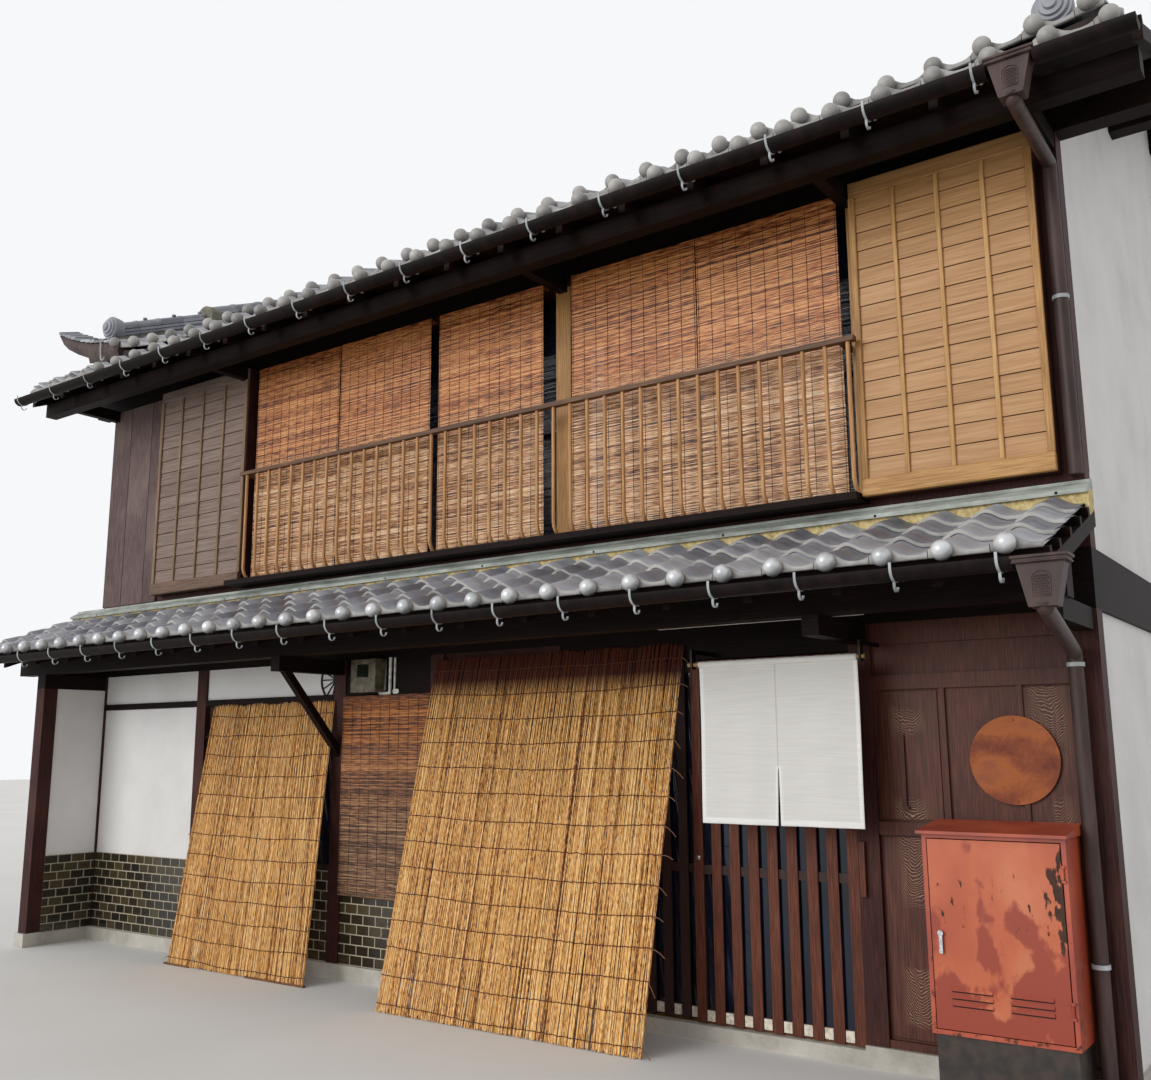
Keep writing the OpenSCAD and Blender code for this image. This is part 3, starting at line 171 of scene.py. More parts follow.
post_wood = timber("stained_cedar_upright", "1d0d0a 381b16 512b23", "z", wear="55362c", sheen=0.2)
# Beams and rafters: stained dark, and darkened further as painted shade for the eaves' undersides
stained_and_shaded_beam_wood = timber("stained_cedar_lengthwise_darkened_as_shade", "0a0504 150c09 251611", "x", sheen=0.1)
stained_and_shaded_rafter_wood = timber("stained_pine_rafter_darkened_as_shade", "0c0605 180d0a 271712", "y", sheen=0.1)
dress("ground_posts", post_wood)
dress("storey_beams pent_eave_frame front_rails main_purlins", stained_and_shaded_beam_wood)
dress("pent_boarding main_boarding", stained_and_shaded_rafter_wood)
# Floor boards of the upper storey, planed pine left bare
dress("upper_floor", timber("bare_pine_floor", "8a6a45 a98658 bf9c6c", "x", roughness=0.5))


# Plastered walls
# Clay walls finished in white lime plaster: smooth from the trowel, matt, with faint clouds. The
# timber of the frame shows between them.

def paint(node, number, lo, hi):
    """Gives the frame piece's faces whose middles lie in the box its material of that number."""
    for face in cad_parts[node].data.polygons:
        if all(a <= c <= b for a, c, b in zip(lo, face.center, hi)):
            face.material_index = number


plaster = finish("lime_plaster", 0.9)
cloud = add("TexNoise", Scale=1.4, Detail=7.0, Roughness=0.6)
trowel = add("TexNoise", stretch=(14.0, 14.0, 18.0), Detail=5.0)
tint = add("ValToRGB", cloud, stops=[(0.25, "cbc8c6"), (0.5, "d9d7d5"), (0.75, "e2e0de")])
join(tint, (0.2, 0.001, trowel))
dress("wing_wall left_wall_ground party_wall", plaster)
dress("front_walls rear_walls", plaster, post_wood)
paint("front_walls", 1, (-0.05, -0.1, 1.9), (0.93, 0.2, 2.3))
for x in (-4.2, -1.092, 0.88, 4.08):
    paint("rear_walls", 1, (x - 0.001, 7.1, 2.5), (x + 0.121, 7.3, 5.0))


# Glazed tile skirting
# Stoneware tiles 115 by 60 mm, glazed olive black and gone glossy, laid in half bond in cream
# mortar, with the joints raked 3 mm back.

CORNERS = np.array([(x, y, z) for x in (-1, 1) for y in (-1, 1) for z in (-1, 1)], float)
BOX_FACES = [(0, 1, 3, 2), (4, 5, 7, 6), (0, 1, 5, 4), (2, 3, 7, 6), (0, 2, 6, 4), (1, 3, 7, 5)]
# With its edges taken off, a block has three points at each corner, one on each of its faces there
CUT_FACES = [tuple(3 * c + n // 2 for c in face) for n, face in enumerate(BOX_FACES)]
CUT_FACES += [(3 * a + i, 3 * b + i, 3 * b + j, 3 * a + j) for a in range(8)
              for b, i, j in ((a ^ 4, 1, 2), (a ^ 2, 0, 2), (a ^ 1, 0, 1)) if a < b]
CUT_FACES += [(3 * c, 3 * c + 1, 3 * c + 2) for c in range(8)]


class Pile:
    """Many like pieces gathered in one mesh. Each may have a tone, which its material reads, and a
    kind, which is the number of its material."""

    def __init__(self):
        self.points, self.faces, self.tones, self.kinds, self.count = [], [], [], [], 0

    def add(self, points, faces, tone=0.5, kind=0):
        points = np.asarray(points, float)
        self.points.append(points)
        self.tones.append(np.full(len(points), tone))
        self.faces += [tuple(i + self.count for i in face) for face in faces]
        self.kinds += kind if isinstance(kind, list) else [kind] * len(faces)
        self.count += len(points)

    def block(self, lo, hi, edge=0.0, tone=0.5, kind=0):
        """A bar or board with its edges taken off."""
        half, middle = np.subtract(hi, lo) / 2, np.add(hi, lo) / 2
        if edge:
            points = (CORNERS[:, None] * (half - edge + edge * np.eye(3))).reshape(-1, 3)
        else:
            points = CORNERS * half
        self.add(points + middle, CUT_FACES if edge else BOX_FACES, tone, kind)

    def loft(self, rings, tone=0.5, kind=0, ends=True):
        """A skin over closed rings of points, one after another."""
        rings = np.asarray(rings, float)
        n, m = rings.shape[:2]
        faces = [(k * m + j, k * m + (j + 1) % m, (k + 1) * m + (j + 1) % m, (k + 1) * m + j)
                 for k in range(n - 1) for j in range(m)]
        if ends:
            faces += [range(m), range((n - 1) * m, n * m)]
        self.add(rings.reshape(-1, 3), faces, tone, kind)

    def rod(self, path, radius, sides=6, tone=0.5, kind=0, roll=0.0):
        """A round bar along the path's points; radius may be a list."""
        path = np.asarray(path, float)
        along = np.gradient(path, axis=0)
        along /= np.linalg.norm(along, axis=1)[:, None]
        side = np.cross(along, (0.0, 0.0, 1.0) if abs(along[0][2]) < 0.8 else (0.0, 1.0, 0.0))
        side /= np.linalg.norm(side, axis=1)[:, None]
        other = np.cross(side, along)
        a = (roll + np.arange(sides) * 2 * math.pi / sides)[None, :, None]
        ring = np.cos(a) * side[:, None] + np.sin(a) * other[:, None]
        self.loft(path[:, None] + ring * np.broadcast_to(radius, len(path))[:, None, None], tone, kind)

    def make(self, name, slot, *materials, body="house", replaces=None, smooth=None):
        """The piece itself, on its body; smooth is the angle in degrees below which edges are soft."""
        mesh = bpy.data.meshes.new(name)
        mesh.from_pydata(np.concatenate(self.points).tolist(), [], self.faces)
        mesh.attributes.new("tone", "FLOAT", "POINT").data.foreach_set("value", np.concatenate(self.tones))
        for each in materials:
            mesh.materials.append(each)
        mesh.polygons.foreach_set("material_index", self.kinds)
        loose = bmesh.new()
        loose.from_mesh(mesh)
        bmesh.ops.recalc_face_normals(loose, faces=loose.faces)
        loose.to_mesh(mesh)
        loose.free()
        if smooth:
            mesh.polygons.foreach_set("use_smooth", [True] * len(self.faces))
            mesh.set_sharp_from_angle(angle=math.radians(smooth))
        piece = bpy.data.objects.new(name, mesh)
        bpy.context.collection.objects.link(piece)
        if replaces:
            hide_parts(replaces)
        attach(piece, body)
        return piece


def mottled(name, roughness, scale, stops, detail=2.0, crumble=0.5, bump=None, tone=None, **sockets):
    """A finish with one mottling. Its scale is one number, or three where it is stretched; bump is its
    strength and depth; tone is how much the piece's tone and the mottling count in the colour."""
    made = finish(name, roughness, **sockets)
    size = {"stretch": scale} if isinstance(scale, tuple) else {"Scale": scale}
    level = mottle = add("TexNoise", Detail=detail, Roughness=crumble, **size)
    if tone:
        level = add("Math MULTIPLY_ADD", "tone", tone[0], add("Math MULTIPLY", mottle, tone[1]))
    join(add("ValToRGB", level, stops=stops), bump and (*bump, mottle))
    return made


# Glaze pools in waves about 15 mm apart
glaze = mottled("olive_black_glaze", 0.26, 60.0, [(0.2, "17130c"), (0.55, "2a2315"), (0.8, "443a24")],
                3.0, bump=(0.2, 0.001), tone=(0.6, 0.5), IOR=1.52, Coat_Weight=0.2, Coat_Roughness=0.1)
mortar_bed = mottled("cream_joint_mortar", 0.92, 500.0, [(0.3, "8d8570"), (0.6, "b3a993")], 3.0,
                     bump=(0.4, 0.0008))
course_h, tile_w, joint, raked = 0.069, 0.121, 0.008, 0.003
tile_deep, bed_deep, uneven, least_w = 0.009, 0.012, 0.0007, 0.012
skirt_lo, skirt_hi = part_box("wainscot")
bed, tiles = Pile(), Pile()


def skirting(axis, start, end, face, outward):
    """Courses of tile along one wall; face is where the tiles' faces lie, outward is -1 or 1."""
    def lay(pile, a, b, z0, z1, depth0, depth1, **more):
        near, far = sorted((face - outward * depth0, face - outward * depth1))
        lo, hi = ((a, near, z0), (b, far, z1)) if axis == "x" else ((near, a, z0), (far, b, z1))
        pile.block(lo, hi, **more)

    lay(bed, start, end, skirt_lo[2], skirt_hi[2], raked, bed_deep)
    for row in range(9):
        z0 = skirt_lo[2] + joint / 2 + row * course_h
        at = start - (tile_w / 2 if row % 2 else 0.0)
        while at < end - 0.004:
            a, b = max(at, start), min(at + tile_w - joint, end)
            if b - a > least_w:
                lay(tiles, a, b, z0, z0 + course_h - joint, chance.uniform(0, uneven), tile_deep,
                    edge=0.0022, tone=chance.random())
            at += tile_w


for x0, x1 in ((-4.08, -2.743), (-2.623, -1.092), (-0.972, -0.12), (0.0, 0.88)):
    skirting("x", x0, x1, 0.008, -1)
for x0, x1 in ((-4.08, -1.092), (-0.972, 0.88), (1.0, 4.08)):
    skirting("x", x0, x1, 7.272, 1)
skirting("y", 0.12, 7.16, -4.192, -1)
skirting("y", -0.45, 0.0, -4.078, 1)
# A dark board closes the gap between the wing wall's head and the eave beam
wing_board = Pile()
wing_board.block((-4.165, -0.452, 2.2395), (-4.12, -0.0006, 2.37), edge=0.002)
wing_board.make("wing_wall_head_board", "dark_timber", stained_and_shaded_beam_wood)
bed.make("skirting_mortar", "mortar", mortar_bed)
tiles.make("glazed_skirting_tiles", "glazed_tile", glaze, replaces="wainscot")


# Windows and their glass
# Cedar sashes with sheet glass. Inside it is dark, so the panes look near black with a blue sheen.

glass = mottled("sheet_glass", 0.05, 3.0, [(0.3, "0c1424"), (0.7, "1a2740")], 1.0, bump=(0.06, 0.004),
                IOR=1.52, Transmission_Weight=0.5)
dress("ground_glass upper_glass left_leaf_glass right_leaf_glass", glass)
dress("ground_windows upper_windows",
      timber("stained_cedar_sash", "21160f 3c2a1f 5a4230", "z", roughness=0.5))


# Upper end wall at the left
# Cedar boards 180 mm wide, nailed upright with battens over the joints, weathered purple-brown.

old_board = timber("weathered_cedar_board", "3f3030 5e4c4a 7d6b66", "z", roughness=0.8, streak=5.0,
                   tone_spread=0.1, bump=0.9, wear="84746c")
dress("left_wall_upper", old_board)


# Threshold, jambs, head and the iron pull
# The jambs are cedar stained red-brown. The threshold is a pale stone sill, and two brass rails are
# let into it for the leaves.

black_iron = mottled("blackened_iron", 0.45, 90.0, [(0.35, "15130f"), (0.65, "2c2825"), (0.8, "4a3a2e")],
                     4.0, bump=(0.3, 0.0005), metallic=0.85)
brass = mottled("worn_brass_rail", 0.3, (4.0, 60.0, 60.0), [(0.3, "7a6434"), (0.7, "b59a5a")], metallic=1.0)
slat_wood = timber("red_stained_cedar_slat", "3a1b11 5a2e1f 764530", "z", roughness=0.5, streak=5.0,
                   sheen=0.2)
dress("door_frame", stained_and_shaded_beam_wood, black_iron, brass, concrete, slat_wood)
paint("door_frame", 3, (0.8, -0.2, -0.01), (3.2, 0.2, 0.0801))
paint("door_frame", 4, (2.85, -0.2, 0.1), (3.1, 0.2, 1.9))
paint("door_frame", 1, (3.0, -0.03, 0.8), (3.1, 0.0005, 1.15))
paint("door_frame", 2, (0.9, 0.02, 0.0799), (3.1, 0.09, 0.086))
dress("noren_brackets fan_grille", black_iron)


# Lattice sliding leaves
# Reddish cedar slats 60 mm wide in front of a glazed frame. Each slat ends on a pale block at its
# foot, and the right leaf has a round lock with a nickel ring.

# A darker copy of the slat wood, as painted shade: the left leaf stands in shadow behind the large screen
shaded_slat_wood = timber("cedar_slat_in_painted_shade", "1c0e0b 301a15 442a21", "z", roughness=0.55,
                        streak=5.0)
dress("left_leaf", shaded_slat_wood)
dress("right_leaf", slat_wood, shaded_slat_wood)
leaf_lo, leaf_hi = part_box("right_leaf")
# Painted shade: the parts behind the right leaf's slats get the darker copy
paint("right_leaf", 1, (leaf_lo.x + 0.05, leaf_lo.y + 0.012, 0.2),
      (leaf_hi.x - 0.05, leaf_hi.y + 0.001, 1.8))

nickel = mottled("brushed_nickel", 0.3, (900.0, 900.0, 60.0), [(0.3, "9a968e"), (0.7, "c9c5bb")],
                 metallic=1.0)
lock = Pile()
lock_x, lock_y, lock_z = leaf_lo.x + 0.032, leaf_lo.y, 0.976
lock_plate, lock_r = 0.014, 0.0105
lock.block((lock_x - lock_plate, lock_y - 0.0016, lock_z - lock_plate),
           (lock_x + lock_plate, lock_y + 0.001, lock_z + lock_plate), edge=0.001)
lock.rod([(lock_x, lock_y - out, lock_z) for out in (0.0, 0.0045, 0.0055)],
         [lock_r, lock_r, lock_r - 0.002], 20)
lock.rod([(lock_x, lock_y - out, lock_z) for out in (0.005, 0.0064)], 0.004, 12)
lock.make("door_lock", "bright_metal", nickel, body="right_leaf", smooth=40)

pale_block = mottled("cream_painted_block", 0.7, 45.0, [(0.35, "b3a897"), (0.6, "ddd4c4")], 4.0)
for leaf in ("left_leaf", "right_leaf"):
    lo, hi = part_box(leaf)
    feet = Pile()
    for i in range(8):
        at = lo.x + 0.064 + i * 0.93 / 8
        feet.block((at, hi.y - 0.0395, lo.z + 0.012), (at + 0.048, hi.y - 0.0305, lo.z + 0.068), 0.001)
    feet.make(leaf + "_foot_blocks", "red_timber", pale_block, body=leaf)


# Boarded bay beside the entrance
# Red-brown cedar rails and stiles, plain boards between them, and brushed boards at both sides. The
# soft wood is scraped out in patches there, so that arches of hard grain stand up as pale ridges.

bay_wood = timber("stained_cedar_boarding", "30150e 4b261b 66392b", "z", roughness=0.5, streak=6.0,
                  bump=0.3, sheen=0.25)
dress("right_bay_panelling", bay_wood)
relief = finish("brushed_grain_board", 0.48, Specular_IOR_Level=0.25)
# The tone holds the board's middle, less 3 m
side = add("Math SUBTRACT", "X", add("Math ADD", "tone", 3.0))
arch = add("Math MULTIPLY_ADD", add("Math MULTIPLY", side, side), -9.0, "Z")
sway = add("TexNoise", stretch=(16.0, 1.0, 9.0), Detail=2.0)
arch = add("Math MULTIPLY_ADD", sway, 0.075, arch)
# Year rings 6 mm apart, drawn at 15 mm
ring = add("Math SINE", add("Math MULTIPLY", arch, 420.0))
patch = add("TexNoise", stretch=(2.0, 1.0, 3.1), Detail=1.0)
shown = add("Math MULTIPLY", add("MapRange", add("Math ABSOLUTE", side), 0.105, 0.07),
            add("MapRange", patch, 0.44, 0.52))
ridge_line = add("Math MULTIPLY", add("MapRange", ring, 0.35, 0.95), shown)
streak = add("TexNoise", stretch=(150.0, 30.0, 5.0), Detail=4.0)
tint = add("ValToRGB", streak, stops=[(0.3, "35180f"), (0.5, "4c271b"), (0.72, "62372a")])
join(add("MixRGB", add("Math MULTIPLY", ridge_line, 0.7), tint, srgb("b2937c")), (0.9, 0.002, ridge_line))
boards = Pile()
for x0, x1 in ((3.072, 3.402), (3.804, 4.068)):
    for z0, z1 in ((0.155, 1.135), (1.222, 1.878)):
        boards.block((x0 + 0.004, 0.024, z0), (x1 - 0.004, 0.0305, z1), 0.002, (x0 + x1) / 2 - 3.0)
boards.make("brushed_grain_boards", "dark_timber", relief)


# Iron disc
# A round of plate rusted all over, orange-brown with darker runs, hung on two bolts.

rust = finish("rusted_plate", 0.85, metallic=0.15)
crust = add("TexNoise", Scale=60.0, Detail=9.0, Roughness=0.7)
bloom = add("TexNoise", stretch=(3.4, 3.4, 5.5), Detail=5.0)
mix = add("Math MULTIPLY_ADD", bloom, 0.8, add("Math MULTIPLY", crust, 0.2))
join(add("ValToRGB", mix, stops=[(0.36, "6b3527"), (0.46, "8a4a2f"), (0.55, "a55f33"), (0.64, "93533a"),
                                 (0.75, "8b6358")]), (0.5, 0.001, crust))
dress("iron_disc", rust)


# Hose cabinet
# Sheet steel sprayed fire red, faded to salmon where rain runs, with rust breaking through and the
# paint peeled to dark steel along the door's hinge edge. The lever is zinc alloy.

red_paint = finish("faded_red_enamel", 0.42, Coat_Weight=0.15, Coat_Roughness=0.3)
fade = add("TexNoise", stretch=(2.2, 2.2, 1.2), Scale=1.6, Detail=7.0)
tint = add("ValToRGB", fade, stops=[(0.35, "8c331f"), (0.5, "a64326"), (0.62, "b55434"), (0.75, "be714f")])
spots = add("TexNoise", Scale=26.0, Detail=8.0, Roughness=0.72)
eaten = add("Math ADD", spots, add("MapRange", "Z", 1.25, 0.3, -0.05, 0.07))
bare = add("ValToRGB", eaten, stops=[(0.62, "000000"), (0.66, "ffffff")])
brown = add("TexNoise", Scale=70.0, Detail=5.0)
brown = add("ValToRGB", brown, stops=[(0.35, "3a2119"), (0.6, "6e3a22")])
join(add("MixRGB", bare, tint, brown), (0.4, 0.0008, add("Math MULTIPLY_ADD", bare, -1.0, fade)),
     Roughness=add("MapRange", bare, To_Min=0.42, To_Max=0.9))
dress("cabinet_body cabinet_lid", red_paint)

peeled = finish("peeled_enamel_on_steel", 0.6)
edge = add("TexNoise", stretch=(30.0, 30.0, 12.0), Detail=8.0)
level = add("Math ADD", edge, add("MapRange", "X", 3.93, 4.01, -0.12, 0.12))
from_middle = add("Math ABSOLUTE", add("Math SUBTRACT", "Z", 0.9))
level = add("Math ADD", level, add("MapRange", from_middle, 0.12, 0.34, 0.04, -0.3))
gone = add("ValToRGB", level, stops=[(0.55, "000000"), (0.58, "ffffff")])
fade = add("TexNoise", stretch=(2.2, 2.2, 1.2), Scale=1.6, Detail=7.0)
skin = add("ValToRGB", fade, stops=[(0.35, "a84a28"), (0.5, "b55933"), (0.65, "c06d48")])
# Rain has kept the foot and the top edge wet, where the enamel is darker and redder
stain = add("TexNoise", stretch=(7.0, 7.0, 4.5), Detail=6.0)
for band in ((0.95, 0.35, -0.1, 0.22), (1.16, 1.21, 0.0, 0.2)):
    stain = add("Math ADD", stain, add("MapRange", "Z", *band))
wet = add("ValToRGB", stain, stops=[(0.55, "000000"), (0.6, "ffffff")])
skin = add("MixRGB", wet, skin, srgb("8f3318"))
spots = add("TexNoise", Scale=22.0, Detail=9.0, Roughness=0.75)
speck = add("ValToRGB", spots, stops=[(0.66, "000000"), (0.7, "ffffff")])
skin = add("MixRGB", speck, skin, srgb("5c3020"))
dark = add("ValToRGB", spots, stops=[(0.3, "241a17"), (0.7, "50301f")])
join(add("MixRGB", gone, skin, dark), (0.6, 0.0012, add("Math MULTIPLY_ADD", gone, -1.0, 1.0)),
     Roughness=add("MapRange", gone, To_Min=0.42, To_Max=0.85))
dress("cabinet_door", peeled)
# Under each pressed louvre a thin dark strip on the door's face is painted shadow, the shade that the louvre
# casts
louvre_shadow = mottled("painted_louvre_shadow", 0.9, 60.0, [(0.35, "1c0d09"), (0.65, "35170f")], 3.0)
louvre_shadow_strips = Pile()
door_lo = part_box("cabinet_door")[0]
for x0 in (door_lo.x + 0.078, door_lo.x + 0.342):
    for k in range(3):
        z = door_lo.z + 0.11 + 0.0315 * k
        louvre_shadow_strips.block((x0, -0.3335, z - 0.0075), (x0 + 0.186, -0.3321, z - 0.0005), edge=0.0004)
louvre_shadow_strips.make("painted_louvre_shadows", "red_paint", louvre_shadow, body="cabinet_door")
dress("cabinet_base", mottled("black_painted_base", 0.6, 18.0, [(0.35, "1d1815"), (0.65, "3a2c24")], 6.0,
                              bump=(0.3, 0.001)))
dress("cabinet_handle", mottled("cast_zinc_alloy", 0.35, 120.0, [(0.35, "8f9296"), (0.65, "c4c8cc")], 3.0,
                                metallic=1.0))


# Door curtain on its bamboo pole
# Two widths of undyed linen, sewn together at the top over a sleeve and slit from mid-height down.
# Each edge has a hem of doubled cloth. It hangs free, so it falls in shallow folds.

linen = finish("undyed_linen", 0.92, Sheen_Weight=0.15)
# Threads 0.9 mm apart, drawn at 3 mm so that they show
warp, weft = (add("TexWave", settings={"bands_direction": axis}, out=1, Scale=100.0, Distortion=1.2)
              for axis in "XZ")
slub = add("TexNoise", stretch=(6.0, 6.0, 150.0), Detail=4.0)
level = add("Math MULTIPLY_ADD", slub, 0.35, add("Math MULTIPLY", "tone", 0.55))
join(add("ValToRGB", level, stops=[(0.25, "c6c3be"), (0.5, "d6d4cf"), (0.75, "e8e6e2")]),
     (0.15, 0.0006, add("Math ADD", warp, weft)))

noren_lo, noren_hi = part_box("noren")
pole_lo, pole_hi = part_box("noren_pole")
half_w, curtain_h, hem_w = 0.465, 0.85, 0.022
pole_y, pole_z, pole_r = -0.25, (pole_lo.z + pole_hi.z) / 2, 0.013
cloth_top = pole_z - pole_r
slit_from = cloth_top - (noren_hi.z - 0.64 * curtain_h)


def hang(s, drop):
    """How far the cloth stands off its plane, s across in metres and drop below the pole."""
    fall = min(drop / curtain_h, 1.0)
    fold = math.sin(s * 13.0 + 0.6) * 0.007 + math.sin(s * 29.0 + 2.1 + drop * 1.5) * 0.0035
    corner = 0.010 * max(0.0, abs(s / half_w) - 0.55) * math.sin(drop * 6.0)
    gape = 0.012 * math.exp(-abs(s) / 0.09) * max(0.0, (drop - 0.5) / 0.35)
    return fold * (0.25 + 0.75 * fall) + corner - gape * (1.0 if s < 0 else 0.85)


curtain = Pile()
steps_x, steps_z = 50, 92
for s0, way in ((-half_w, -1), (0.0, 1)):
    grid, tones = [], []
    for k in range(steps_z + 1):
        drop = curtain_h * k / steps_z
        slit = max(0.0, drop - slit_from)
        for i in range(steps_x + 1):
            s = s0 + half_w * i / steps_x
            away = way * (0.0015 * min(1.0, slit / 0.02) + 0.006 * slit / 0.3) * math.exp(-abs(s) / 0.2)
            grid.append((noren_lo.x + half_w + s + away, pole_y + hang(s, drop), cloth_top - drop))
            inner = abs(s) < hem_w * 0.6 and drop > slit_from
            hem = abs(s) > half_w - hem_w or drop > curtain_h - 1.3 * hem_w or inner
            tones.append(0.85 if hem else 0.4)
    n = steps_x + 1
    curtain.add(grid, [(k * n + i, (k + 1) * n + i, (k + 1) * n + i + 1, k * n + i + 1)
                       for k in range(steps_z) for i in range(steps_x)], tone=tones)
noren = curtain.make("linen_door_curtain", "cloth", linen, replaces="noren", smooth=60)
body_of_cloth = noren.modifiers.new("thickness", "SOLIDIFY")
body_of_cloth.thickness, body_of_cloth.offset = 0.0014, 0.0

# The sleeve that the pole runs through, with its line of stitches
sleeve = Pile()
steps_x, steps_round, rings = 60, 20, []
for i in range(steps_x + 1):
    x = noren_lo.x + 2 * half_w * i / steps_x
    rings.append([])
    for j in range(steps_round):
        a = 2 * math.pi * j / steps_round
        r = pole_r + 0.0022 + 0.0008 * math.sin(i * 1.7 + j)
        sag = 0.004 * max(0.0, -math.sin(a)) ** 3
        rings[i].append((x, pole_y + r * math.cos(a), pole_z + r * math.sin(a) - sag))
sleeve.loft(rings, ends=False)
sleeve_piece = sleeve.make("curtain_sleeve", "cloth", linen, smooth=60)
sleeve_piece.modifiers.new("thickness", "SOLIDIFY").thickness = 0.0012

bamboo = finish("dry_bamboo", 0.4)
fibre = add("TexNoise", stretch=(6.0, 260.0, 260.0), Detail=3.0)
tint = add("ValToRGB", fibre, stops=[(0.3, "7c5a30"), (0.55, "a27c48"), (0.8, "b89560")])
join(add("MixRGB", "tone", tint, srgb("6e5228")), (0.3, 0.0004, fibre))
pole = Pile()
joints = [pole_lo.x + 0.05 + 0.235 * k for k in range(5)]
xs = sorted([pole_lo.x, pole_hi.x] + [j + d for j in joints for d in (-0.012, -0.004, -0.0015, 0.0015, 0.006)
                                      if pole_lo.x < j + d < pole_hi.x])
near = [min(abs(x - j) for j in joints) for x in xs]
pole.rod([(x, pole_y, pole_z) for x in xs], [pole_r - (0.0 if d < 0.005 else 0.0009) for d in near], 24,
         tone=np.repeat([0.7 if d < 0.002 else 0.0 for d in near], 24))
pole.make("bamboo_pole", "bamboo", bamboo, replaces="noren_pole", smooth=40)


# Leaning reed screens
# Dry ditch reeds 6 to 8 mm thick, laid side by side with their seed ends up, and bound by rows of
# brown hemp string. The foot is trimmed straight on a thin lath, and the tops are ragged.

reed = finish("dry_reed", 0.55)
fleck = add("TexNoise", stretch=(150.0, 150.0, 6.0), Detail=3.0)
level = add("Math MULTIPLY_ADD", "tone", 0.5, add("Math MULTIPLY_ADD", fleck, 1.6, -0.49))
tint = add("ValToRGB", level, stops=[(0.2, "43210f"), (0.34, "a3622b"), (0.48, "cf9449"), (0.66, "e1ad60"),
                                     (0.88, "f0cd90")])
# Painted shade: from 1.92 m up the reeds are darkened red-brown, for the eave's shadow over the screens' tops
painted_eave_shade = add("MapRange", "Z", 1.92, 2.04)
join(add("MixRGB MULTIPLY", painted_eave_shade, tint, srgb("6a361d")), (0.4, 0.0006, fleck))
hemp = mottled("brown_hemp_string", 0.95, 350.0, [(0.3, "35170d"), (0.6, "5b2a18"), (0.8, "7b4129")])
frayed_hemp = mottled("frayed_hemp_end", 0.95, 350.0, [(0.3, "5a3a28"), (0.6, "7d5a44"), (0.8, "98755c")])
lath_wood = timber("split_bamboo_lath", "4a2c18 6b4426 8a5f38", "x", roughness=0.6)
string_r = 0.0028


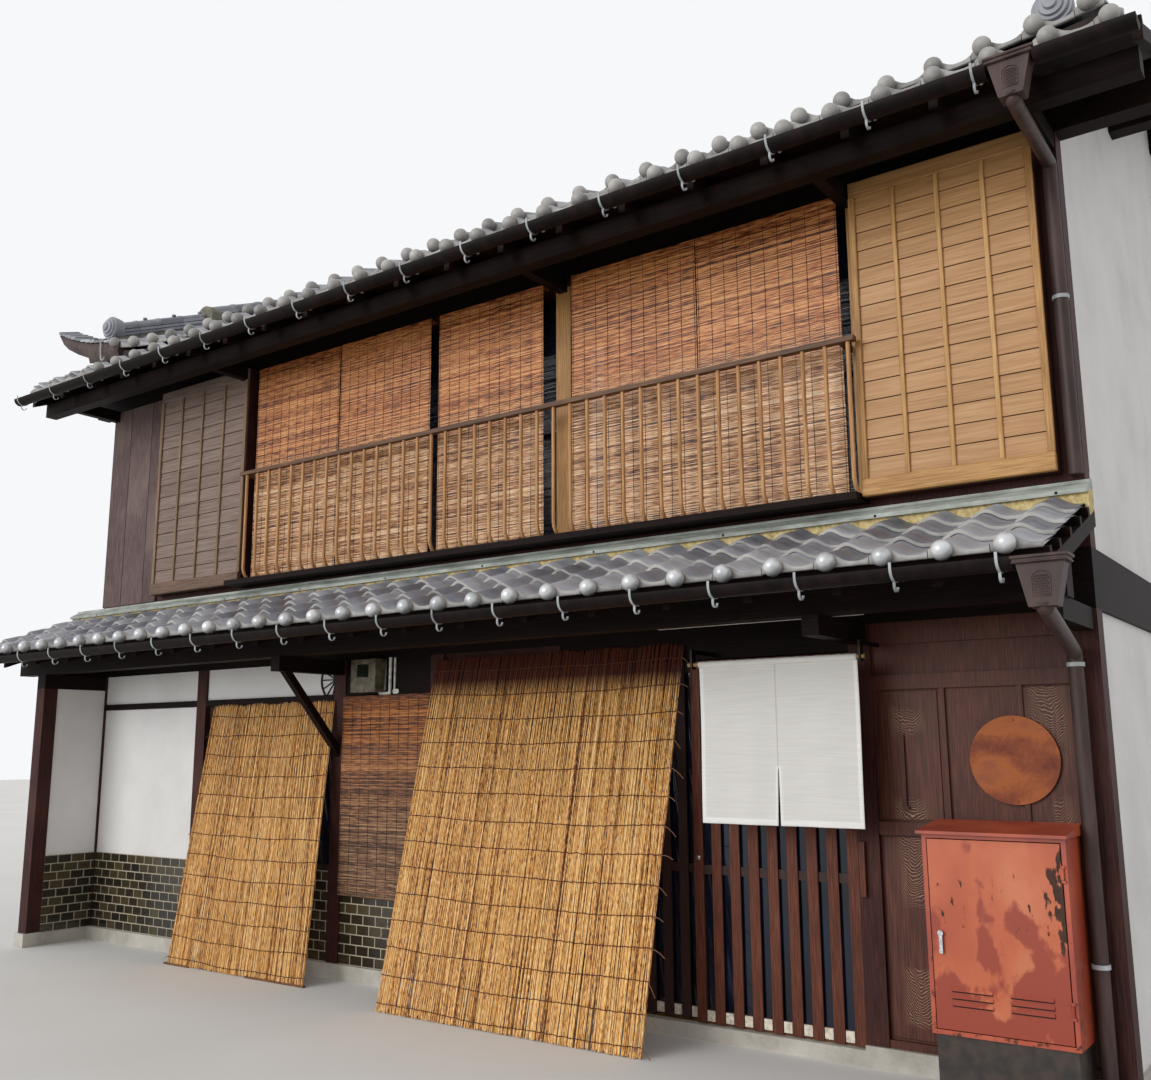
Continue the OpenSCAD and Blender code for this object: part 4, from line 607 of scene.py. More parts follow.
def reed_screen(name, node, long, foot_y, rows, seams, foot_shift, foot_spread, seed):
    """A screen that leans on the front: reeds in two layers, string rows, seams where widths meet."""
    lo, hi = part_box(node)
    wide = hi.x - lo.x
    luck = np.random.default_rng(seed)
    lean = math.asin((-foot_y - 0.0163) / long)

    def on_screen(x, away, up):
        """A point on the screen: away from its front face, up along it. The foot is set to one side."""
        x += (1.0 - up / long) * (foot_shift + foot_spread * (x - lo.x))
        return (x, foot_y + math.cos(lean) * away + math.sin(lean) * up,
                math.cos(lean) * up - math.sin(lean) * away)

    reeds, ties = Pile(), Pile()
    for depth in (0.0045, 0.0112):
        x = lo.x + 0.004
        while x < hi.x - 0.004:
            r = luck.uniform(0.0026, 0.0044)
            x += r * 1.03
            if depth > 0.01 or luck.random() > 0.05:
                foot = abs(luck.normal(0.006, 0.006)) + 0.003
                top = long - luck.uniform(0.0, 0.016) - (0.02 if luck.random() < 0.1 else 0.0)
                top -= 0.006 * (1 + math.sin(x * 17))
                drift, bow = luck.normal(0, 0.007), luck.normal(0, 0.004)
                dim = 0.3 if any(abs(x - lo.x - s * wide) < 0.008 for s in seams) else 0.0
                tone = np.clip(luck.normal(0.52, 0.27) - dim, 0, 1)
                path = []
                for t in np.linspace(0, 1, 6):
                    at = x + drift * (t - 0.5) * 2 + bow * math.sin(math.pi * 3 * t + x * 9)
                    at = min(max(at, lo.x + 0.002), hi.x - 0.002)
                    path.append(on_screen(at, depth + luck.uniform(-0.0012, 0.0008), foot + (top - foot) * t))
                reeds.rod(path, r * np.array((1.0, 0.98, 0.92, 0.84, 0.74, 0.62)), 5, tone,
                          roll=luck.uniform(0, 1))
            x += r * 1.03
    for k in range(rows):
        up = 0.06 + (long - 0.16) * k / (rows - 1)
        path, n = [], 90
        sag, phase = luck.uniform(0.01, 0.022), luck.uniform(0, 6)
        for i in range(n + 1):
            wobble = 0.0018 * math.sin(i * 1.9 + k) + 0.004 * math.sin(i * 0.16 + phase)
            wobble += luck.normal(0, 0.001) - sag * math.sin(math.pi * i / n)
            x = lo.x + 0.003 + (wide - 0.006) * i / n
            path.append(on_screen(x, -0.0006 if i % 2 else 0.0012, up + wobble))
        ties.rod(path, string_r, 5)
        for edge_x, way in ((hi.x, 1), (lo.x, -1)):
            # The string's loose ends stand out past the screen's edges
            if way < 0 and luck.random() < 0.7:
                continue
            a = luck.uniform(-0.9, 0.3)
            end = luck.uniform(0.05, 0.11) if node[0] == "l" else luck.uniform(0.01, 0.04)
            x, y, z = on_screen(edge_x - way * 0.006, -0.001, up)
            ties.rod([(x + way * end * t * math.cos(a), y - 0.01 * t,
                       z + end * (t * math.sin(a) - 0.45 * t * t)) for t in (0.0, 0.35, 0.7, 1.0)],
                     [string_r, 0.0026, 0.0024, 0.0026], 5, kind=1)
    for s in seams:
        for i in range(int(long / 0.05)):
            up = 0.02 + i * 0.05
            x = lo.x + s * wide + luck.normal(0, 0.001)
            ties.rod([on_screen(x, 0.0002, up),
                      on_screen(x + luck.normal(0, 0.002), -0.0004, min(up + 0.052, long - 0.01))],
                     0.0024 if s > 0.5 else 0.0016, 5)
    reeds.make(name + "_reeds", "reed", reed, replaces=node, smooth=60)
    ties.make(name + "_string", "reed", hemp, frayed_hemp, smooth=60)
    if not seams:
        laths = Pile()
        for s0, s1 in ((0.0, 0.17), (0.62, 1.0)):
            a = on_screen(lo.x + wide * s0 - 0.03, -0.004, 0.0)
            b = on_screen(lo.x + wide * s1 + 0.012, 0.014, 0.0)
            laths.block((a[0], a[1], 0.0), (b[0], b[1] + 0.006, 0.013), edge=0.0015)
        laths.make(name + "_foot_lath", "reed", lath_wood)


reed_screen("small_screen", "small_reed_screen", 1.985, -0.34, 13, (), 0.02, 0.08, 5)
reed_screen("large_screen", "large_reed_screen", 2.28, -0.57, 14, (0.335, 0.665), 0.045, -0.02, 9)


# Hanging blinds
# Split bamboo, peeled to slats 5 mm high and smoked orange-brown, woven with dark cotton threads.
# A round bamboo runs along the foot of each, and a lath along its top.

slat = finish("smoked_bamboo_slat", 0.5)
fibre = add("TexNoise", stretch=(12.0, 60.0, 190.0), Detail=4.0)
patch = add("TexNoise", stretch=(2.6, 2.6, 2.0), Detail=3.0)
level = add("Math MULTIPLY_ADD", fibre, 1.25, add("Math MULTIPLY_ADD", patch, 0.25, -0.395))
level = add("Math MULTIPLY_ADD", "tone", 0.45, level)
tint = add("ValToRGB", level, stops=[(0.3, "2e180c"), (0.42, "7b4825"), (0.53, "b37a49"), (0.66, "d4a577"),
                                     (0.82, "eccba4")])
# Painted shade: above 3.7 m the slats are darkened and turned more orange, for the eave's shadow on the
# blinds' upper part
high = add("MapRange", "Z", 3.7, 3.95)
join(add("MixRGB MULTIPLY", high, tint, srgb("f2cb9e")), (0.4, 0.0005, fibre))
faded = finish("weathered_bamboo_slat", 0.7)
fibre = add("TexNoise", stretch=(12.0, 60.0, 190.0), Detail=4.0)
level = add("Math MULTIPLY_ADD", "tone", 0.4, add("Math MULTIPLY_ADD", fibre, 1.1, -0.26))
lower = add("ValToRGB", level, stops=[(0.3, "38251b"), (0.5, "7a5439"), (0.72, "a8825f")])
upper = add("ValToRGB", level, stops=[(0.3, "38190a"), (0.5, "8a4b1d"), (0.72, "c07a3a")])
join(add("MixRGB", add("MapRange", "Z", 1.0, 1.75), lower, upper), (0.4, 0.0005, fibre))
cotton = mottled("dark_cotton_thread", 0.9, 600.0, [(0.3, "1f120a"), (0.7, "3b2616")])
luck = np.random.default_rng(3)
slat_t, cane_r, thread_r = 0.0028, 0.0085, 0.0014


def hanging_blind(pile, strings, x0, x1, y, z0, z1, pitch):
    """One blind of slats between two heights, its front at y, with threads about 90 mm apart."""
    slack = luck.uniform(-1, 1)
    for i in range(int((z1 - z0 - 0.03) / pitch)):
        z = z0 + 0.026 + (i + 0.5) * pitch + luck.normal(0, 0.0004)
        half = pitch * luck.uniform(0.36, 0.46)
        bow = 0.0014 * math.sin(i * 0.045 + slack)
        a, b = x0 + luck.uniform(0, 0.003), x1 - luck.uniform(0, 0.003)
        tilt = luck.normal(0, 0.0007)
        front = y + 0.0022 + bow + luck.uniform(-0.0005, 0.0005)
        pile.loft([[(x, front, mid - half), (x, front + slat_t, mid - half * 0.8),
                    (x, front + slat_t, mid + half * 0.8), (x, front, mid + half)]
                   for x, mid in ((a, z - tilt), (b, z + tilt))], np.clip(luck.normal(0.5, 0.25), 0, 1))
    count = max(3, int((x1 - x0) / 0.09))
    for k in range(count + 1):
        x = x0 + 0.012 + (x1 - x0 - 0.024) * k / count
        strings.rod([(x + luck.normal(0, 0.0008), y + 0.0008, z0 + 0.01 + (z1 - z0 - 0.02) * t)
                     for t in np.linspace(0, 1, 9)], thread_r, 4)
    pile.rod([(x0, y + cane_r, z0 + 0.011), (x1, y + cane_r, z0 + 0.011)], cane_r, 10, 0.35)
    pile.block((x0, y, z1 - 0.03), (x1, y + 0.009, z1), 0.001, 0.3)


lo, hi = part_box("ground_blind")
pile, strings = Pile(), Pile()
hanging_blind(pile, strings, lo.x, hi.x, lo.y, lo.z, 1.965, 0.0066)
pile.block((lo.x, -0.022, 1.95), (hi.x, -0.0005, 1.975), 0.002, 0.2)
pile.make("ground_blind_slats", "blind", faded, replaces="ground_blind")
strings.make("ground_blind_threads", "blind", cotton)

window_left, window_w = -2.217, 5.325
lo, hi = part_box("upper_blinds")
pile, strings = Pile(), Pile()
for start, share in ((0.0325, 0.183), (0.2177, 0.178), (0.411, 0.178), (0.633, 0.177), (0.811, 0.173)):
    x0 = window_left + start * window_w
    x1 = x0 + share * window_w
    hanging_blind(pile, strings, x0, x1, lo.y, lo.z, 4.69, 0.0064)
    pile.block((x0, -0.062, 4.662), (x1, -0.001, 4.684), 0.002, 0.2)
pile.make("upper_blind_slats", "blind", slat, replaces="upper_blinds")
strings.make("upper_blind_threads", "blind", cotton)


# Meter box, conduits, oval plate and strip lamp
# The meter is cream enamelled steel with a dark window; the conduits are white plastic pipe; the
# lamp is a white enamelled trough.

# Painted shade: the meter's cream enamel is set dark olive, as the box hangs in the shade under the pent roof
cream = mottled("cream_enamel_darkened_as_shade", 0.4, 22.0, [(0.32, "403b2e"), (0.5, "5c5542"), (0.7, "756d57")], 6.0)
white_pipe = mottled("white_plastic_pipe", 0.45, 30.0, [(0.35, "a9a69c"), (0.6, "dcdad2")], 5.0)
dark_window = mottled("dark_meter_window", 0.08, 40.0, [(0.3, "10130f"), (0.7, "272b22")], IOR=1.5)
dress("meter_box", cream, white_pipe, dark_window)
paint("meter_box", 1, (-0.605, -0.03, 1.9), (-0.3, 0.03, 2.3))
paint("meter_box", 2, (-0.76, -0.094, 2.09), (-0.62, -0.09, 2.2))
dress("lamp", mottled("white_lamp_enamel", 0.35, 12.0, [(0.35, "b9b7ae"), (0.6, "e6e5df")], 5.0))


# Pent roof tiles
# Smoked clay tiles with one high roll to a tile, silver grey and a little glossy from the kiln smoke.
# Each nose is thick and rubbed pale, and paler still as a painted highlight where its front catches the
# light. Eave tiles have an upright front plate and a ball at the roll.

smoked = finish("smoked_clay_tile", 0.42, IOR=1.5, Specular_IOR_Level=0.6)
bloom = add("TexNoise", Scale=7.0, Detail=7.0, Roughness=0.65)
speck = add("TexNoise", Scale=130.0, Detail=3.0)
level = add("Math MULTIPLY_ADD", bloom, 0.5, add("Math MULTIPLY", speck, 0.12))
level = add("Math MULTIPLY_ADD", "tone", 0.45, level)
join(add("ValToRGB", level, stops=[(0.25, "58595f"), (0.45, "74757d"), (0.62, "919298"), (0.85, "acadb1")]),
     (0.25, 0.0008, speck), Roughness=add("MapRange", bloom, 0.3, 0.7, 0.34, 0.56))
# The noses' fronts: rubbed, and paler still as a painted highlight where they catch the light
worn_and_highlit_tile = mottled("rubbed_and_highlit_tile_nose", 0.5, 16.0, [(0.25, "767471"), (0.5, "9b9894"), (0.8, "b7b4ae")],
                    6.0, bump=(0.2, 0.0006), tone=(0.35, 0.65), IOR=1.5)
# The balls are painted pale silver: a painted sheen, for the light they catch
sheen_painted_ball_tile = mottled("ball_tile_with_painted_sheen", 0.33, 22.0, [(0.25, "9d9ea0"), (0.5, "c8c9ca"), (0.8, "dfdfdf")],
                    6.0, bump=(0.25, 0.0006), tone=(0.3, 0.7), metallic=0.25)

pitch, tile_t, roll_h, ball_r, plate_t, flank = 0.265, 0.018, 0.048, 0.046, 0.016, 0.068


def roll_up(x):
    """Height of a tile's roll x to one side of its middle."""
    return roll_h * ((1 + math.cos(2 * math.pi * x / pitch)) / 2) ** 1.6


# Across one tile: from beside its own roll, over it, and along the trough to the next tile
ACROSS = [-flank, -0.055, -0.041, -0.028, -0.014, 0.0, 0.014, 0.028, 0.041, 0.055, 0.072, 0.1, 0.14, 0.17,
          pitch - flank - 0.002]
BALL = [(ball_r * 0.5 - ball_r * math.cos(a), ball_r * math.sin(a))
        for a in np.linspace(math.pi * 0.31, math.pi * 0.985, 12)]


def wave_tile(pile, seat, length, first=0, last=None):
    """One tile. seat(x, y, z) takes a point of the tile, y up the slope from its nose, to the house."""
    twist, nudge, lift = chance.normal(0, 0.0016), chance.normal(0, 0.0012), abs(chance.normal(0, 0.0009))
    round_it = ((0.0, 0.0), (0.0, tile_t - 0.004), (0.0035, tile_t), (length / 2, tile_t), (length, 0.0),
                (length, tile_t))
    rings = []
    for x in ACROSS[first:last]:
        z = roll_up(x) + lift + max(0.0, 0.004 * (1 - (x + flank) / 0.02))
        rings.append([seat(x + nudge + twist * (y / 0.3 - 0.5), y, z + up) for y, up in round_it])
    pile.loft(rings, chance.random(), [1, 1, 0, 0, 0, 0] * (len(rings) - 1) + [0, 0])


def turned(pile, centre, axis, profile, sides=28, tone=0.5, kind=0):
    """A round piece turned about an axis through the centre; profile is (distance along, radius)."""
    axis = np.asarray(axis, float)
    u = np.cross(axis, (0.0, 0.0, 1.0)) if abs(axis[2]) < 0.9 else np.array([1.0, 0.0, 0.0])
    v = np.cross(axis, u)
    turn = 2 * math.pi / sides
    pile.loft([[centre + axis * d + r * (u * math.cos(turn * j) + v * math.sin(turn * j))
                for j in range(sides)] for d, r in profile], tone, kind)


def eave_front(pile, at, y, z, rise=lambda x: 0.0, first=0, last=None, ball=True, shine=2, ball_up=0.034):
    """An eave tile's plate with its wavy top and straight foot, and the ball that stands out from it.
    at(c) is the place along the eave of the tile's point c, and rise how far the eave has risen there."""
    tone, lift = chance.random() * 0.6, chance.normal(0, 0.0012)
    front, cut, rings = y - plate_t, 0.003, []
    for c in ([-flank + 0.0015] + ACROSS[1:])[first:last]:
        x = at(c)
        foot = z + lift - 0.004 + rise(x)
        top = z + lift + roll_up(c) * (1.0 if ball else 0.5) + tile_t + rise(x)
        rings.append([(x, front + cut, top), (x, front, top - cut), (x, front, foot + cut),
                      (x, front + cut, foot), (x, y, foot), (x, y, top)])
    pile.loft(rings, tone, 1)
    if ball:
        turned(pile, (at(0.0), front - 0.0005, z + lift + ball_up + rise(at(0.0))), (0, -1, 0), BALL, 20,
               chance.random(), shine)


def slope_seat(x0, y0, z0, slope, tilt, up):
    """Seat for a tile whose nose is at y0, z0 on a roof of that slope, tipped flatter by tilt."""
    c, s = math.cos(slope - tilt), math.sin(slope - tilt)
    base_y, base_z = y0 - up * math.sin(slope), z0 + up * math.cos(slope)
    return lambda x, y, z: (x0 + x, base_y + y * c - z * s, base_z + y * s + z * c)


def courses(pile, rows, tiles, y0, gauge, slope, seat, first=0, last=None, lap=0.03):
    """Courses of tiles up a slope. seat(i, y) is the seat of tile i with its nose at y; the end tiles of
    each course are cut to begin at their point first and to end at their point last."""
    for row in range(rows):
        y = y0 + row * gauge * math.cos(slope)
        for i in range(tiles):
            wave_tile(pile, seat(i, y), gauge + (lap if row < rows - 1 else 0.0), first if i == 0 else 0,
                      last if i == tiles - 1 else None)


pent_rise, pent_top, pent_head, pent_rows = 0.38, 2.752, 0.11, 4
pent_slope = math.atan(pent_rise)
pent_x0, pent_n = -4.6725, 34
pent_nose = 1.0 - plate_t
pent_gauge = (pent_nose - pent_head) / math.cos(pent_slope) / pent_rows
pent_tilt = math.asin((tile_t + 0.00036) / pent_gauge)
pent_up = (pent_gauge + 0.03) * math.sin(pent_tilt) + 0.0003
pent = Pile()
courses(pent, pent_rows, pent_n, -pent_nose, pent_gauge, pent_slope, lambda i, y: slope_seat(
    pent_x0 + i * pitch, y, pent_top + pent_rise * y, pent_slope, pent_tilt, pent_up), 12, 13)
nose_y = -pent_nose - pent_up * math.sin(pent_slope) - 0.0005
nose_z = pent_top - pent_rise * pent_nose + pent_up * math.cos(pent_slope)
for i in range(pent_n):
    eave_front(pent, lambda c: pent_x0 + i * pitch + c, nose_y, nose_z, first=12 if i == 0 else 0,
               last=13 if i == pent_n - 1 else None, ball=i > 0, ball_up=0.022)
pent.make("pent_roof_tiles", "roof_tile", smoked, worn_and_highlit_tile, sheen_painted_ball_tile, replaces="pent_tiles", smooth=50)


# Mortar, flashing and end tile at the head of the pent roof
# Cream clay mortar fills the hollows under a stepped copper flashing, which has gone verdigris; its
# sheets lap about every 0.9 m.

dress("pent_mortar", mottled(
    "cream_bedding_mortar", 0.95, 35.0, [(0.3, "8f7c50"), (0.5, "c2ad78"), (0.7, "d8c998")], 8.0, 0.65,
    bump=(0.8, 0.004)))
verdigris = mottled(
    "verdigris_copper", 0.7, (3.0, 12.0, 12.0), [(0.3, "5d594c"), (0.42, "82877f"), (0.55, "a0a59d"),
                                                 (0.72, "bcc0b8")], 8.0, 0.7, bump=(0.4, 0.001), metallic=0.1)
dress("pent_flashing", verdigris)
laps = Pile()
flash_lo, flash_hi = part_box("pent_flashing")
x = flash_lo.x + 0.42
while x < flash_hi.x - 0.1:
    laps.block((x, -0.128, 2.787), (x + 0.014, -0.1265, 2.801), 0.0004)
    laps.block((x, -0.0615, 2.833), (x + 0.014, -0.0600, 2.858), 0.0004)
    x += 0.91
laps.make("flashing_laps", "copper", verdigris)


# Gutters, hooks, rain heads and pipes
# Half round gutters and pipes of brown coated steel, dulled outdoors; the hooks and clamps are
# zinc-coated flat bar, nearly white.

def coated(name, tints, roughness, sheen=0.5):
    """Sprayed steel that has gone dull, with dust and drip marks."""
    made = finish(name, roughness, Specular_IOR_Level=sheen)
    drip = add("TexNoise", stretch=(14.0, 14.0, 3.0), Detail=6.0)
    join(add("ValToRGB", drip, stops=list(zip((0.3, 0.5, 0.75), tints.split()))),
         (0.15, 0.0005, add("TexNoise", Scale=160.0, Detail=2.0)),
         Roughness=add("MapRange", drip, To_Min=roughness - 0.12, To_Max=roughness + 0.18))
    return made


pipe_brown = coated("brown_coated_pipe", "2a1d1a 3d2d2a 513f3b", 0.5, sheen=0.3)
zinc_bar = coated("zinc_coated_bar", "74797b 9a9ea0 bcc0c1", 0.5)
dress("pent_gutter main_gutter", coated("brown_coated_gutter", "0c0707 150d0d 241817", 0.55, sheen=0.12))
dress("pent_downpipe main_downpipe", pipe_brown)
dress("hooks_and_clamps", zinc_bar)

# Pressed in the rain heads' sheet: a stepped rim, and an arched panel of pebbles in front
rubbed = coated("rubbed_relief_of_rain_head", "2b1f1c 4a3833 6a564f", 0.5, sheen=0.3)
heads = Pile()
arch_w, arch_h, pebble = 0.036, 0.026, 0.0042
for x, y, z in ((4.215, -1.04, 2.322), (4.19, -0.776, 4.705)):
    for z0, z1, grow in ((0.017, 0.031, 0.008), (-0.001, 0.008, 0.004)):
        wide, deep = 0.105 + grow, 0.054 + grow
        heads.block((x - wide, y - deep, z + z0), (x + wide, y + deep, z + z1), 0.003)
    face = y - 0.0445
    arch = [(x + arch_w * math.cos(a), face, z - 0.062 + arch_h * math.sin(a))
            for a in np.linspace(0, math.pi, 11)]
    loop = [(x + arch_w, face, z - 0.14), *arch, (x - arch_w, face, z - 0.14)]
    for path in (loop, [loop[0], loop[-1]]):
        heads.rod(path, 0.003, kind=1)
    heads.rod([(x, y, z - 0.176), (x, y, z - 0.166)], [0.05, 0.052], 24)
    for row in range(8):
        for k in range(6):
            off, pz = k * 0.011 - 0.0275 + (0.0055 if row % 2 else 0.0), z - 0.133 + row * 0.011
            if abs(off) < 0.031 and pz < z - 0.06 + 0.022 * math.sqrt(max(0.0, 1 - (off / arch_w) ** 2)):
                heads.block((x + off - pebble, face - 0.0035, pz - pebble),
                            (x + off + pebble, face + 0.002, pz + pebble), 0.0026, kind=1)
heads.make("rain_head_relief", "pipe_brown", pipe_brown, rubbed, smooth=40)


# Upper front frame with its honey-coloured strips
# The frame is old cedar gone almost black, and its sill under the blinds takes the near-black beam timber as
# painted shade. Thin strips of new pine stand beside each shutter box, and one of the posts between the
# blinds is new pine too.

honey = timber("honey_pine", "8a6234 ad8048 c49a62", "z", roughness=0.5, tone_spread=0.25, bump=0.3)
dress("upper_front_frame", post_wood, honey, stained_and_shaded_beam_wood)
# Painted shade: the sill under the blinds gets the near-black beam timber, for the shadow that falls there
paint("upper_front_frame", 2, (-4.3, -0.25, 2.8), (4.3, -0.04, 3.01))
paint("upper_front_frame", 1, (-4.1, -0.0265, 2.92), (-3.3, -0.0005, 4.7))
paint("upper_front_frame", 1, (3.0, -0.0265, 2.92), (3.12, -0.0005, 4.7))
paint("upper_front_frame", 1, (0.93, -0.2, 3.0), (1.16, 0.2, 4.75))


# Board wall of the upper storey
# Three wide cedar boards, upright, weathered to a purple-brown grey, nailed over the corner post and
# the frame from the flashing up to the eave.

house_deep, main_front, main_rise = 7.28, -0.716, 0.42


def main_z(y):
    """Height of the main roof's tile bed, from the street side up to the ridge."""
    return 4.772 + (y - main_front) * main_rise


def main_under(y):
    """Height up to which a wall goes under the main roof's boards, on either slope."""
    return main_z(min(y, house_deep - y)) - 0.115


boards = Pile()
wall_lo, wall_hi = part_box("upper_board_wall")
for a, b in ((-4.2, -3.917), (-3.917, -3.594), (-3.594, -3.396)):
    boards.block((a + 0.0015, -0.0205 + chance.uniform(0, 0.002), 2.873), (b - 0.0055, -0.0006, 4.715), 0.003,
                 chance.random())
boards.block(wall_lo, wall_hi, tone=0.1)
boards.make("upper_wall_boards", "board_wall", old_board, replaces="upper_board_wall")

# The end wall's boards are nailed upright in the same way, with battens over the joints
ends = Pile()
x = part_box("left_wall_upper")[0].x
y = 0.125
while y < 7.15:
    wide = min(0.235, 7.155 - y)
    top = min(main_under(y), main_under(y + wide))
    ends.block((x - 0.016, y + 0.002, 2.56), (x - 0.0005, y + wide - 0.002, top), 0.002, chance.random())
    ends.block((x - 0.027, y - 0.015, 2.56), (x - 0.0165, y + 0.015, main_under(y) - 0.02), 0.003,
               chance.random())
    y += 0.235
ends.make("end_wall_boards", "board_wall", old_board)


# Shutter boxes
# Each has a tall foot rail, fifteen lapped boards 115 mm high with a dark joint under each, and
# upright battens over them. The left box has gone grey-brown, the right one is new honey pine.

grey_lath = timber("grey_brown_shutter_board", "64534a 7a685e 8f7c71", "x", roughness=0.7, streak=12.0,
                   blotch=0.15, tone_spread=0.1, bump=0.2)
grey_batten = timber("grey_brown_shutter_batten", "5a4434 7d644e 998066", "z", roughness=0.65)
grey_rail = timber("grey_brown_shutter_rail", "4b382c 685040 806857", "x", roughness=0.65)
honey_lath = timber("honey_pine_board", "956a3d aa7e4f ba9064", "x", roughness=0.45, streak=12.0,
                    blotch=0.25, tone_spread=0.12, bump=0.15)
honey_rail = timber("honey_pine_rail", "8a6234 ad8048 c49a62", "x", roughness=0.5, bump=0.3)


def shutter_box(name, slot, x0, x1, board, batten, rail):
    """One box in front of the node of its name, with five battens."""
    lo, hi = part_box(name)
    face, foot, head = lo.y + 0.012, lo.z + 0.095, hi.z - 0.09
    box, bars = Pile(), Pile()
    box.block((x0, face + 0.018, lo.z), (x1, hi.y, hi.z), 0.003, 0.3, 1)
    box.block((x0, lo.y - 0.004, lo.z), (x1, face + 0.02, foot), 0.004, 0.6, 2)
    box.block((x0, face, head), (x1, face + 0.02, hi.z), 0.003, 0.4)
    rows, gap = 15, 0.0045
    step, y = (head - foot) / rows, face + 0.0085
    for row in range(rows):
        z = foot + row * step
        box.loft([[(x, y, z + gap), (x, y + 0.0095, z + gap), (x, y + 0.0095, z + step - 0.0005),
                   (x, y + 0.0045, z + step - 0.0005)] for x in (x0 + 0.004, x1 - 0.004)], chance.random())
    box.make(name + "_boards", slot, board, post_wood, rail, replaces=name)
    for i in range(5):
        wide = 0.036 if i in (0, 4) else 0.024
        x = x0 + (x1 - x0 - wide) * i / 4
        bars.block((x, face - 0.004, foot), (x + wide, face + 0.0115, head), 0.003, chance.random())
    bars.make(name + "_battens", "honey_boards", batten)


shutter_box("left_shutter_box", "grey_boards", -3.33, -2.14, grey_lath, grey_batten, grey_rail)
shutter_box("right_shutter_box", "honey_boards", 3.112, 4.1, honey_lath, honey, honey_rail)


# Handrail
# Round cedar balusters that curve in at the foot, under a square rail, all honey brown.

rail_wood = timber("honey_brown_handrail", "3c2619 5d3f29 7e5939", "x", roughness=0.5)
baluster_wood = timber("honey_brown_baluster", "855a35 b18151 cfa273", "z", roughness=0.5)
dress("handrail", baluster_wood, rail_wood)
paint("handrail", 1, (-5.0, -1.0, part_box("handrail")[1].z - 0.03), (5.0, 1.0, 5.0))


# Main roof: the low eave course and the wing at the left
# Ball-capped eave tiles stand in a straight row under the upper field. Left of the raised field they
# go on as a plain wing, whose tiles have no balls, up to the ridge.

main_slope, ridge_y = math.atan(main_rise), house_deep / 2
main_x0, main_n, eave_y, eave_deep = -4.395, 35, -0.7, 0.052
verge_i, verge_x = 4, -3.455
# A tile lies on the head of the one below, which is as thick as this with a little play
tile_step = 0.0185


def both_slopes(pile):
    """Adds the rear slope, which mirrors the street slope."""
    pile.points += [points * (1, -1, 1) + (0, house_deep, 0) for points in pile.points]
    pile.tones += pile.tones
    pile.faces += [tuple(i + pile.count for i in face) for face in pile.faces]
    pile.kinds += pile.kinds
    pile.count *= 2


eave = Pile()
for i in range(main_n):
    last = i == main_n - 1
    eave_front(eave, lambda c: main_x0 + i * pitch + c, eave_y - 0.0003, main_z(eave_y) + 0.002,
               last=10 if last else None, ball=i >= verge_i, shine=1, ball_up=0.016)
    seat = slope_seat(main_x0 + i * pitch, eave_y, main_z(eave_y), main_slope, 0.0, 0.004)
    wave_tile(eave, seat, eave_deep, first=5 if i == 0 else 0, last=6 if last else None)
# A dark fillet behind them carries the upper field
y0, y1, low, high = -0.645, -0.603, 0.001, 0.03
eave.loft([[(x, y, main_z(y) + up) for y, up in ((y0, low), (y1, low), (y1, high), (y0, high))]
           for x in (main_x0, main_x0 + (main_n - 1) * pitch)], 0.1)
# The wing's own courses, from behind the eave course up to the ridge
wing_rows, wing_y0 = 17, -0.652
wing_gauge = (ridge_y + 0.02 - wing_y0) / math.cos(main_slope) / wing_rows
courses(eave, wing_rows, verge_i, wing_y0, wing_gauge, main_slope, lambda i, y: slope_seat(
    main_x0 + i * pitch, y, main_z(y), main_slope, math.asin(tile_step / wing_gauge), 0.027), 5)
both_slopes(eave)
eave.make("main_eave_tiles", "roof_tile", smoked, worn_and_highlit_tile, sheen_painted_ball_tile, replaces="main_eave_course",
          smooth=50)


# Main roof: the upper field on its bed
# Rolled tiles 241 mm wide in sixteen courses on each slope, on dark bed boards. Near its left verge
# the bed is built up, so that the field and its own row of balls rise in a long curve.

field_y0, field_up, field_rows, field_n = -0.584, 0.046, 16, 33
field_x0, field_pitch = -3.19, 0.2407
field_gauge = (ridge_y - 0.13 - field_y0) / math.cos(main_slope) / field_rows
sweep_from, sweep_w, sweep_h = -1.4, 2.8, 0.43


def sweep(x):
    """How far the upper tile field has risen at x: towards its left corner, and a little at the right."""
    return sweep_h * max(0.0, (sweep_from - x) / sweep_w) ** 2.9 + 0.07 * max(0.0, (x - 3.2) / 1.3) ** 2


def spread(i, c):
    """Place of point c of the field's tile i. The tiles are narrower than below, but widen at the corner."""
    x = field_x0 + i * field_pitch + c * field_pitch / pitch
    return x - 0.114 * math.exp(-(x - field_x0) / 0.48)


def swept_seat(i, y0):
    """Seat for a tile of the upper field, which follows the field's rise."""
    seat = slope_seat(0.0, y0, main_z(y0), main_slope, math.asin(tile_step / field_gauge), field_up)

    def risen(x, y, z):
        px, (_, py, pz) = spread(i, x), seat(x, y, z)
        return (px, py, pz + sweep(px))
    return risen


field = Pile()
courses(field, field_rows, field_n, field_y0 + 0.018, field_gauge, main_slope, swept_seat, last=11)
for i in range(field_n):
    eave_front(field, lambda c: spread(i, c), field_y0 - 0.0003, main_z(field_y0) + field_up, rise=sweep,
               last=11 if i == field_n - 1 else None, shine=1)
both_slopes(field)
field.make("main_field_tiles", "roof_tile", smoked, worn_and_highlit_tile, sheen_painted_ball_tile, replaces="main_roof_tiles",
           smooth=50)

